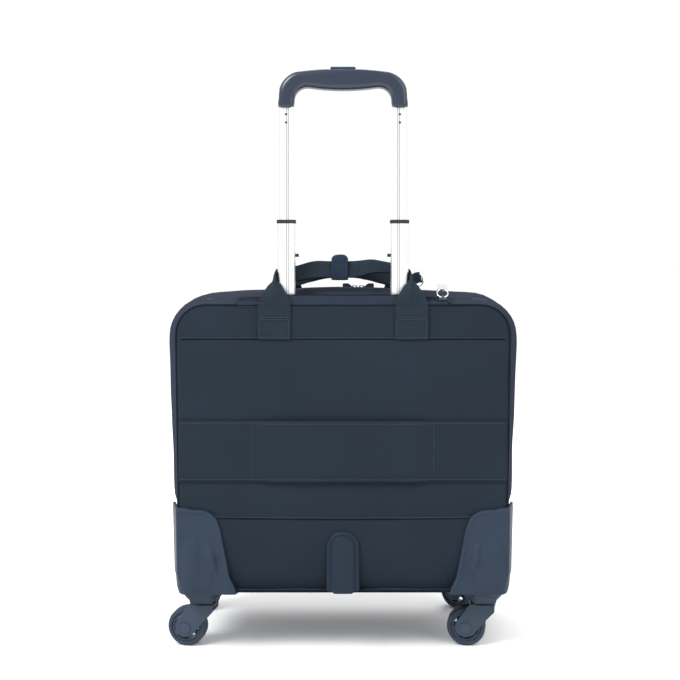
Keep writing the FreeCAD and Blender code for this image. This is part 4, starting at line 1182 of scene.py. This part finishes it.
# ---------------------------------------------------------------------------------------------
# Assembly
# ---------------------------------------------------------------------------------------------
back_panel()
back_piping()
panel_seams()
luggage_sleeve()
gusset()
foot_cover()
lid()
front_pocket()
hinge_strip()
zip_side("main_zip_tape_case", "case_zip_tape", "case", 74.6, 80.0, 80.5, 1)
zip_side("main_zip_tape_lid", "lid_zip_tape", "front_lid", 81.5, 86.9, 81.0, -1)
slot_lip()
rear_handle()
front_handle()
handle_wrap()
guards()
bumper()
moulded("grip", ["grip_back_shell", "grip_front_shell"], "grip_plastic", "handle_upper",
        voxel=0.9, rounds=60, swell=0.9)
for end_name in ("back", "front"):
    for side_name in SIDES:
        moulded(f"caster_{end_name}_{side_name}_fork", [f"caster_fork_{end_name}_{side_name}"],
                "caster_plastic", f"swivel_{end_name}_{side_name}", voxel=0.8, rounds=5)
for side_name, side in SIDES.items():
    pull_tab(f"main_pull_tab_{side_name}", f"main_zip_pull_{side_name}", side)
ring_leather()
hard_parts()


# ---------------------------------------------------------------------------------------------
# Floor, light and camera
# ---------------------------------------------------------------------------------------------
def stage():
    """A pale floor that runs out of sight, under an even white sky."""
    floor_mesh = bpy.data.meshes.new("floor")
    reach = 40.0
    floor_mesh.from_pydata([(-reach, -reach, 0), (reach, -reach, 0), (reach, reach, 0),
                            (-reach, reach, 0)], [], [(0, 1, 2, 3)])
    floor = bpy.data.objects.new("floor", floor_mesh)
    bpy.context.scene.collection.objects.link(floor)
    floor_mesh.materials.append(shader("floor", (0.97, 0.97, 0.97), 0.9, Specular__IOR__Level=0.1)[0])

    world = bpy.data.worlds.new("studio")
    bpy.context.scene.world = world
    world.use_nodes = True
    sky = world.node_tree.nodes["Background"]
    sky.inputs["Color"].default_value = (1, 1, 1, 1)
    sky.inputs["Strength"].default_value = 1.05


def softbox(name, place, target, wide, power):
    """A square area light at place that faces target."""
    lamp = bpy.data.lights.new(name, "AREA")
    lamp.size = wide
    lamp.energy = power
    piece = bpy.data.objects.new(name, lamp)
    piece.location = place
    piece.rotation_euler = (Vector(target) - Vector(place)).to_track_quat("-Z", "Y").to_euler()
    bpy.context.scene.collection.objects.link(piece)


def camera():
    """Straight behind the case, a little above its top, and tipped down a little."""
    lens = bpy.data.cameras.new("camera")
    lens.lens = 59.71
    lens.shift_x = -0.0044
    lens.shift_y = -0.085
    piece = bpy.data.objects.new("camera", lens)
    piece.location = (0, -1.471, 0.498)
    piece.rotation_euler = (math.radians(90 - 1.74), 0, 0)
    bpy.context.scene.collection.objects.link(piece)
    bpy.context.scene.camera = piece


stage()
softbox("key", (-1.5, -1.4, 2.3), (0, 0, 0.3), 1.2, 75)
softbox("fill", (1.6, -1.2, 1.5), (0, 0, 0.3), 1.6, 16)
softbox("back", (0.4, 1.6, 2.4), (0, 0, 0.3), 1.4, 22)
camera()
bpy.context.scene.view_settings.view_transform = "Standard"
